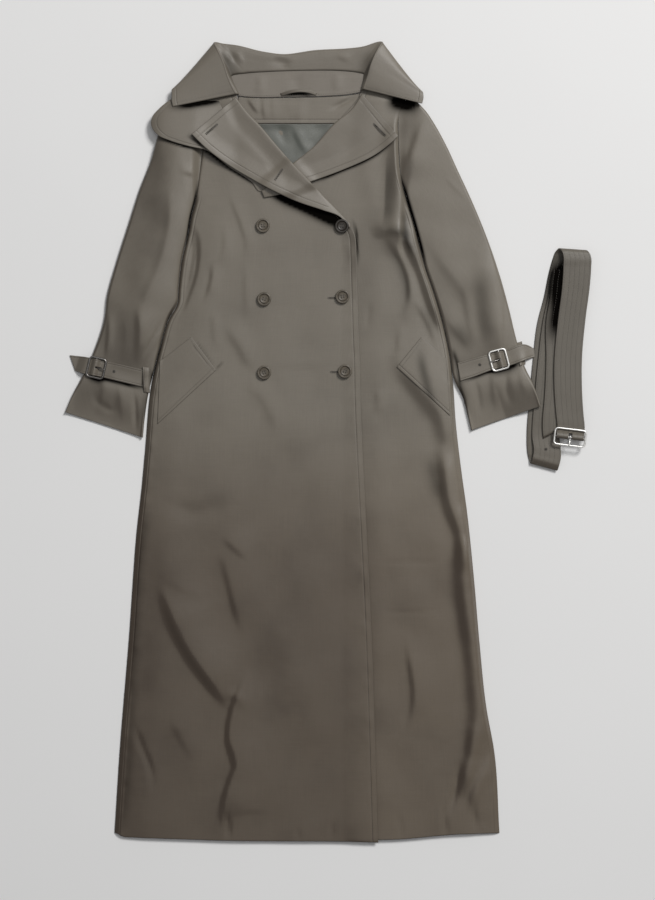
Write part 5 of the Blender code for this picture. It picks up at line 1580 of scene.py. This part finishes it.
def build_collar():
    """The stand at the back of the neck, and the leaf that folds over it and falls to both sides."""
    stand = [Strip(row.start_x, row.start_y + NECK_SEAM, row.end_x, row.end_y) for row in NECK]
    plan = laid_out(stand, EDGE, EDGE, step=2.4)[2]
    height = np.linspace(STAND_LOW_Z, STAND_HIGH_Z, plan.shape[1]) + crease_height(plan, CREASES_STAND)
    upper = add_cloth("collar_stand", with_height(plan, height), STAND_SHELL)
    sewing.along(upper[:, len(EDGE) - 1])
    grid = np.array([leaf_profile(row) for row in smooth_spans(COLLAR_LEAF, LEAF_PARTS)])
    near = np.zeros(grid.shape[:2])
    near[:, 1:LEAF_INNER] = np.sin(math.pi * np.arange(1, LEAF_INNER) / LEAF_INNER)
    grid[..., 2] += near * crease_height(grid[..., :2], CREASES_LEAF)
    over = run_along(grid, 1)
    stitch = bell(over[:, -1:] - over - LEAF_LINE, STITCH_WIDTH)
    stitch[:, :30] = 0
    grid[..., 2] -= SOFT_DEPTH * stitch
    grid[..., 2] = np.maximum(grid[..., 2], CLOTH / 2)
    upper = add_cloth("collar_leaf", grid, PRESSED, thick=FOLDED_THICK, lines=stitch)
    column = LEAF_ENDS.index(LEAF_LINE) - len(LEAF_ENDS)
    for fall in LEAF_FALLS:
        sewing.along(upper[fall, column])
    for row in LEAF_END_ROWS:
        sewing.along(upper[row, 26:-8])


def build_hanger_loop():
    """The loop, which arches up from the neck seam."""
    plan = laid_out(HANGER_LOOP, LOOPED, LOOPED, step=1.5, over=1.0)[2]
    arch = np.sin(math.pi * np.linspace(0, 1, len(plan)))[:, None] * LOOP_RISE
    add_cloth("hanger_loop", with_height(plan, LOOP_Z + arch + np.zeros(plan.shape[:2])), SHELL)


def turned_solid(profile, sides):
    """Points and faces of a solid turned about the vertical, from one end of its axis to the other."""
    angle = 2 * math.pi * np.arange(sides) / sides
    points = [(0.0, 0.0, profile[0][1])]
    for radius, height in profile[1:-1]:
        points += [(radius * math.cos(a), radius * math.sin(a), height) for a in angle]
    points.append((0.0, 0.0, profile[-1][1]))
    rings = len(profile) - 2
    last = len(points) - 1
    faces = []
    for side in range(sides):
        after = (side + 1) % sides
        faces.append((0, 1 + after, 1 + side))
        for ring in range(rings - 1):
            low = 1 + ring * sides
            high = low + sides
            faces.append((low + side, low + after, high + after, high + side))
        top = 1 + (rings - 1) * sides
        faces.append((top + side, top + after, last))
    return points, faces


def button_mesh():
    """A button with a rounded rim, a sunk middle and four holes through it."""
    body = linked("button_blank", plain_mesh("button_blank", *turned_solid(BUTTON_PROFILE, 48)))
    for x in (-BUTTON_HOLE_AT, BUTTON_HOLE_AT):
        for y in (-BUTTON_HOLE_AT, BUTTON_HOLE_AT):
            drill = linked("button_drill", plain_mesh("button_drill", *turned_solid(BUTTON_DRILL, 12)))
            drill.location = (x * MM, y * MM, 0)
            cut = body.modifiers.new("hole", "BOOLEAN")
            cut.operation = "DIFFERENCE"
            cut.object = drill
    bpy.context.view_layer.update()
    made = bpy.data.meshes.new_from_object(body.evaluated_get(bpy.context.evaluated_depsgraph_get()))
    for obj in [o for o in bpy.data.objects if o.name.startswith(("button_blank", "button_drill"))]:
        bpy.data.objects.remove(obj)
    return made


def build_buttons(cloth):
    """The six buttons, each sewn on with thread through its holes."""
    blank = button_mesh()
    for number, ((x, y), degrees) in enumerate(zip(BUTTONS, BUTTON_TURNS), start=1):
        foot = cloth.under(np.array([[x, y]], dtype=float), 6.0)[0] + BUTTON_STANDOFF
        mesh = blank.copy()
        points = np.zeros(len(mesh.vertices) * 3)
        mesh.vertices.foreach_get("co", points)
        points = placed(points.reshape(-1, 3), np.array([x, y, foot]) * MM, degrees)
        mesh.vertices.foreach_set("co", points.ravel())
        mesh.materials.clear()
        mesh.shade_smooth()
        mesh.set_sharp_from_angle(angle=math.radians(38))
        resin = RESIN_SHADED if number == BUTTON_IN_SHADE else RESIN
        finished(linked(f"button_{number}_turned", mesh, resin), "button_resin", f"button_{number}")
        bars = []
        for side in (-BUTTON_HOLE_AT, BUTTON_HOLE_AT):
            bar = [(side, y_over, z_over) for y_over, z_over in BUTTON_BAR]
            bars.append(wire(placed(bar, (x, y, foot), degrees), BUTTON_THREAD, 6, False))
        shank = placed(BUTTON_SHANK, (x, y, foot), degrees)
        bars.append(wire(shank, SHANK_RADIUS, 10, False, level=False))
        finished(add_wires(f"button_{number}_thread", bars, THREADS), "shell_cloth")


def wire(path, radius, sides, closed, level=True):
    """Points and quads of a wire along a path, and its flat ends where it is open."""
    path = np.array(path, dtype=float)
    if closed:
        ahead = np.roll(path, -1, axis=0) - np.roll(path, 1, axis=0)
    else:
        ahead = np.gradient(path, axis=0)
    ahead /= np.linalg.norm(ahead, axis=1, keepdims=True)
    sideways = np.cross(ahead, (0.0, 0.0, 1.0) if level else (1.0, 0.0, 0.0))
    sideways /= np.linalg.norm(sideways, axis=1, keepdims=True)
    upwards = np.cross(sideways, ahead)
    angles = 2 * math.pi * (np.arange(sides) + 0.5) / sides
    swing = sideways[:, None] * np.cos(angles)[:, None] + upwards[:, None] * np.sin(angles)[:, None]
    rings = path[:, None] + radius * swing
    count = len(rings)
    faces = []
    for ring in range(count if closed else count - 1):
        low, high = ring * sides, ((ring + 1) % count) * sides
        for side in range(sides):
            after = (side + 1) % sides
            faces.append((low + side, low + after, high + after, high + side))
    points = rings.reshape(-1, 3)
    if not closed:
        first, last = len(points), len(points) + 1
        caps = [path[0] - ahead[0] * radius * 0.35, path[-1] + ahead[-1] * radius * 0.35]
        points = np.vstack([points, *caps])
        top = (count - 1) * sides
        for side in range(sides):
            after = (side + 1) % sides
            faces.append((first, after, side))
            faces.append((last, top + side, top + after))
    return points, faces


def add_wires(name, wires, material):
    """Several closed wires as one mesh."""
    points, faces = [], []
    for wire_points, wire_faces in wires:
        shift = sum(len(part) for part in points)
        points.append(np.asarray(wire_points))
        faces += [tuple(shift + index for index in face) for face in wire_faces]
    mesh = plain_mesh(name, np.vstack(points), faces)
    mesh.shade_smooth()
    obj = linked(name, mesh, material)
    bpy.context.view_layer.update()
    return obj


def placed(points, centre, degrees):
    """Points turned about the vertical and moved to a centre."""
    angle = math.radians(degrees)
    turn = np.array([
        [math.cos(angle), math.sin(angle), 0.0],
        [-math.sin(angle), math.cos(angle), 0.0],
        [0.0, 0.0, 1.0],
    ])
    return np.asarray(points, dtype=float) @ turn + np.asarray(centre, dtype=float)


def rounded_rectangle(half_x, half_y, corner, steps=7):
    """Points round a rectangle with quarter circles for corners."""
    points = []
    for quarter, (sign_x, sign_y) in enumerate(((1, 1), (-1, 1), (-1, -1), (1, -1))):
        for step in range(steps + 1):
            angle = math.pi / 2 * (quarter + step / steps)
            points.append((
                sign_x * (half_x - corner) + corner * math.cos(angle),
                sign_y * (half_y - corner) + corner * math.sin(angle),
                0.0,
            ))
    return np.array(points)


def build_buckle(node, centre, degrees, size, metal):
    """A rounded frame of wire with a bar across it."""
    half_x, half_y = size.wide / 2 - size.radius, size.long / 2 - size.radius
    bar = [(x, size.bar_y, 0.0) for x in np.linspace(-half_x, half_x, 5)]
    wires = [
        wire(placed(rounded_rectangle(half_x, half_y, 5.0), centre, degrees), size.radius, 14, True),
        wire(placed(bar, centre, degrees), BAR_RADIUS, 12, False),
    ]
    finished(add_wires(f"{node}_wire", wires, metal), "buckle_steel", node)


def add_plate(name, outline, up, down):
    """A dark plate with this outline, painted shade for the inside of a slit or an eyelet."""
    count = len(outline)
    faces = [tuple(range(count)), tuple(range(2 * count - 1, count - 1, -1))]
    faces += [(a, count + a, count + (a + 1) % count, (a + 1) % count) for a in range(count)]
    points = np.vstack([outline + (0, 0, up), outline - (0, 0, down)])
    finished(add_wires(name, [(points, faces)], DARK), "shell_cloth")


def build_hole(cloth, hole, name):
    """A worked buttonhole: thread round a slit."""
    half = hole.length / 2
    centre = (hole.x, hole.y, 0)
    outline = placed(rounded_rectangle(half, HOLE_HALF, 1.24, 4), centre, hole.degrees)
    outline[:, 2] = cloth.under(outline[:, :2], 2.0) + 0.15
    finished(add_wires(f"{name}_edge", [wire(outline, HOLE_THREAD, 8, True)], THREADS), "shell_cloth")
    slit = placed(rounded_rectangle(half - SLIT_SHORTER, SLIT_HALF, 0.34, 4), centre, hole.degrees)
    slit[:, 2] = cloth.under(slit[:, :2], 2.0) + 0.1
    # Painted shade: a dark plate in the slit
    add_plate(f"{name}_slit", slit, 0.12, 0.2)


def build_eyelet(cloth, name, x, y, height=None):
    """A round eyelet: thread round a hole."""
    turn = 2 * math.pi * np.arange(20) / 20
    circle = np.stack([np.cos(turn), np.sin(turn), 0 * turn], axis=1)
    ring = (x, y, 0) + EYELET_RADIUS * circle
    ring[:, 2] = cloth.under(ring[:, :2], 2.0) if height is None else height
    finished(add_wires(f"{name}_ring", [wire(ring, HOLE_THREAD, 8, True)], THREADS), "shell_cloth")
    disc = (x, y, 0) + 0.8 * EYELET_RADIUS * circle
    disc[:, 2] = ring[:, 2]
    # Painted shade: a dark plate in the hole
    add_plate(f"{name}_hole", disc, 0.15, 0.3)


def build_cuff_strap(cloth, side, table, buckle, metal):
    """The strap across a cuff, woven through its fastened buckle."""
    low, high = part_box(f"cuff_buckle_{side}")
    frame_z = (low.z + high.z) / 2 / MM
    level = frame_z - CUFF_FRAME_HALF - BUCKLE_GAP - STRAP_THICK / 2
    lengths, distances, plan = laid_out(table, STRAPPED, STRAPPED, step=1.6, over=1.5)
    wide = lengths > 18
    angle = math.radians(buckle.slope)
    heading = buckle.pull * np.array([math.cos(angle), math.sin(angle)])
    along = (plan - np.array([buckle.centre_x, buckle.centre_y])) @ heading
    inner = np.minimum(distances, lengths[:, None] - distances)
    stitch = bell(inner - STRAP_LINE, 0.4) * wide[:, None]
    bulge = smoothstep(1 - np.abs(along - CUFF_WIRE.bar_y) / CUFF_WEAVE_HALF)
    far = ramp(np.abs(along), STRAP_FAR, STRAP_FAR_SLOPE)
    laid = cloth.rest(plan, reach=7.0, thick=STRAP_THICK, gap=0.25)
    lying = level + far * (np.minimum(laid, level + 2.0) - level)
    height = lying + bulge * STRAP_RISE - SOFT_DEPTH * stitch
    kept = np.ones((plan.shape[0] - 1, plan.shape[1] - 1), dtype=bool)
    middles = (along[1:, 1:] + along[:-1, :-1]) / 2
    from_middle = np.abs(distances - lengths[:, None] / 2)
    centred = (from_middle[1:, 1:] + from_middle[:-1, :-1]) / 2
    slotted = (middles > CUFF_SLOT_START) & (middles < CUFF_SLOT_END)
    kept[slotted & (centred < CUFF_SLOT_HALF)] = False
    node = f"cuff_strap_{side}"
    upper = lay(cloth, node, plan, height, PRESSED, thick=STRAP_THICK, kept=kept, lines=stitch)
    column = STRAPPED.index(STRAP_LINE)
    for edge in (column, -1 - column):
        sewing.along(upper[wide][3:-3, edge])
    turn = buckle.slope - 90 * buckle.pull
    place = (buckle.centre_x, buckle.centre_y, frame_z)
    build_buckle(f"cuff_buckle_{side}", place, turn, CUFF_WIRE, metal)
    prong = wire(placed(smooth_spans(CUFF_PRONG, 4), place, turn), PRONG_RADIUS, 10, False)
    # Both cuffs' prongs take the painted-shade steel
    node = f"cuff_prong_{side}"
    finished(add_wires(f"{node}_wire", [prong], SHADED_STEEL), "buckle_steel", node)


def build_keeper(cloth, side, table):
    """A belt loop of a cuff strap."""
    lengths, distances, plan = laid_out(table, KEEPING, KEEPING, step=1.4, over=1.2)
    inner = np.minimum(distances, lengths[:, None] - distances)
    stitch = bell(inner - KEEPER_LINE, 0.35)
    height = cloth.rest(plan, reach=4.0, gap=0.2) - FINE_DEPTH * stitch
    upper = lay(cloth, f"cuff_keeper_{side}", plan, height, SHELL, lines=stitch)
    column = KEEPING.index(KEEPER_LINE)
    for edge in (column, -1 - column):
        sewing.along(upper[:, edge])


def build_belt():
    """The folded belt with its rows of stitching, its buckle, and the prong on the buckle's bar."""
    stations = smooth_spans(BELT, TABLE_PARTS)
    rows_at = np.array(BELT_LINES)
    edge = BELT_HALF - np.array(EDGE[:4])
    columns = np.unique(np.round(np.concatenate([
        -edge, edge, *(rows_at + shift for shift in BELT_LINE_SIDES), np.arange(-16, 17, 8.0),
        [-SLOT_HALF, SLOT_HALF],
    ]), 3))
    tilt = np.radians(stations[:, 3:4])
    plan_x = stations[:, 0:1] + columns * np.cos(tilt)
    plan_y = stations[:, 1:2] + columns * np.sin(tilt)
    grid = np.stack([plan_x, plan_y, stations[:, 2:3] + 0 * plan_x], axis=2)
    stitch = np.max([bell(columns - row, STITCH_WIDTH) for row in rows_at], axis=0)
    stitch = stitch + 0 * plan_x
    kept = np.ones((len(stations) - 1, len(columns) - 1), dtype=bool)
    middles = (stations[1:, 1:3] + stations[:-1, 1:3]) / 2
    from_bar = np.linalg.norm(middles - np.array(BELT_BUCKLE_CENTRE[1:]), axis=1)
    slot = np.abs((columns[1:] + columns[:-1]) / 2) < SLOT_HALF
    kept[np.ix_(from_bar < 6.5, slot)] = False
    over = run_along(grid, 1)
    along = run_along(grid, 0)
    rim = from_rim(over, along)
    half = BELT_THICK / 2
    half = half * (RIM_LEFT + (1 - RIM_LEFT) * rounded(rim / half)) - 0.06 * stitch
    offset = surface_normals(grid) * half[..., None]
    skins = grid + offset, grid - offset
    uv = np.stack([columns + 0 * over, along[:, [len(columns) // 2]] + 0 * over], axis=2)
    # Painted shade: the belt's rims and its stitch lines are darkened
    marks = np.where(stitch > LINE_LEAST, -0.5 * stitch, np.exp(-rim / RIM_SHADE_REACH))
    under = np.arange(len(stations)) >= TABLE_PARTS * BELT_TURN
    shade = shade_at("belt", grid) * under[:, None]
    obj = add_skins("belt_cloth", skins, wall_faces(kept), BELT_SHELL, uv, marks, shade)
    finished(obj, "shell_cloth", "belt")
    for row in rows_at:
        column = int(np.argmin(np.abs(columns - row)))
        for face in skins:
            sign = 0.15 * np.sign((face - grid)[:, column])
            belt_sewing.along(face[:, column] + sign * (0, 0, 1), 0.0)
    build_buckle("belt_buckle", BELT_BUCKLE_CENTRE, BELT_TILT, BELT_WIRE, STEEL)
    turn = 2 * math.pi * np.arange(20) / 20
    eye = np.stack([0 * turn, EYE_RADIUS * np.cos(turn), EYE_RADIUS * np.sin(turn)], axis=1)
    eye = placed(eye, BELT_BUCKLE_CENTRE, BELT_TILT)
    rod = placed(smooth_spans(BELT_PRONG, 5), BELT_BUCKLE_CENTRE, BELT_TILT)
    wires = [
        wire(eye, PRONG_RADIUS, 10, True, level=False),
        wire(rod, PRONG_RADIUS, 10, False),
    ]
    finished(add_wires("belt_prong_wire", wires, STEEL), "buckle_steel", "belt_prong", body="belt_prong")


def build_floor_and_lights():
    """A pale floor, an even sky and two soft round lights, which aim at the origin."""
    corners = [(-FLOOR_REACH, -FLOOR_REACH), (FLOOR_REACH, -FLOOR_REACH), (FLOOR_REACH, FLOOR_REACH),
               (-FLOOR_REACH, FLOOR_REACH)]
    floor_mesh = bpy.data.meshes.new("studio_floor")
    floor_mesh.from_pydata([(x, y, FLOOR_Z) for x, y in corners], [], [(0, 1, 2, 3)])
    floor_obj = linked("studio_floor", floor_mesh, floor_material("studio_floor_paper", FLOOR_COLOUR))
    world = bpy.data.worlds.new("studio")
    world.use_nodes = True
    sky = world.node_tree.nodes["Background"].inputs
    sky[0].default_value = SKY_COLOUR
    sky[1].default_value = SKY_STRENGTH
    bpy.context.scene.world = world
    for row in LIGHTS:
        light = bpy.data.lights.new(row.name, "AREA")
        light.shape = "DISK"
        light.size = row.size
        light.energy = row.power
        light.color = row.colour
        obj = linked(row.name, light)
        obj.location = row.place
        aim = -np.array(row.place)
        obj.rotation_euler = (
            math.acos(-aim[2] / np.linalg.norm(aim)), 0.0, math.atan2(aim[1], aim[0]) - math.pi / 2
        )
        obj.visible_camera = False


def build_camera():
    """A camera straight above, whose picture at the floor is as large as the photo's."""
    camera = bpy.data.cameras.new("from_above")
    camera.sensor_width = SENSOR
    camera.sensor_fit = "AUTO"
    camera.lens = SENSOR * CAMERA_UP / (PICTURE[1] * PIXEL * MM)
    obj = linked("from_above", camera)
    obj.location = (
        (PICTURE[0] / 2 - ORIGIN_PIXEL[0]) * PIXEL * MM,
        (ORIGIN_PIXEL[1] - PICTURE[1] / 2) * PIXEL * MM,
        CAMERA_UP,
    )
    bpy.context.scene.camera = obj


coat = Heights()
build_back(coat)
build_neck_inside(coat)
for row in FRONTS:
    build_front(coat, *row)
for row in SLEEVES:
    build_sleeve(coat, *row)
build_flap(coat)
build_welt(coat, "pocket_welt_right", WELT_RIGHT)
build_welt(coat, "pocket_welt_left", WELT_LEFT)
for number in (4, 5):
    build_hole(coat, BUTTONHOLES[number - 1], f"buttonhole_{number}")
build_buttons(coat)
build_lapel(coat, "lapel_left", LAPEL_LEFT, (3.0, 3.0, 2.5, 1.0), 61)
build_hole(coat, BUTTONHOLES[2], "buttonhole_3")
build_lapel(coat, "lapel_right", LAPEL_RIGHT, (2.0, 2.5, 3.0, 4.8, 6.2, 5.5, 3.0), 71)
for number in (1, 2):
    build_hole(coat, BUTTONHOLES[number - 1], f"buttonhole_{number}")
build_collar()
build_hanger_loop()
# The right cuff's buckle takes the painted-shade steel
build_cuff_strap(coat, "right", STRAP_RIGHT, CUFF_BUCKLE_RIGHT, SHADED_STEEL)
build_keeper(coat, "right", KEEPER_RIGHT)
build_keeper(coat, "left", KEEPER_LEFT)
build_cuff_strap(coat, "left", STRAP_LEFT, CUFF_BUCKLE_LEFT, STEEL)
build_eyelet(coat, "cuff_eyelet_right", -353, 117)
build_eyelet(coat, "cuff_eyelet_left", 249, 128)
build_eyelet(coat, "belt_eyelet", 358, -11, 7.9)
build_belt()
sewing.make("coat_topstitching", THREADS)
belt_sewing.make("belt_topstitching", THREADS)
build_floor_and_lights()
build_camera()
bpy.context.scene.view_settings.view_transform = "Standard"
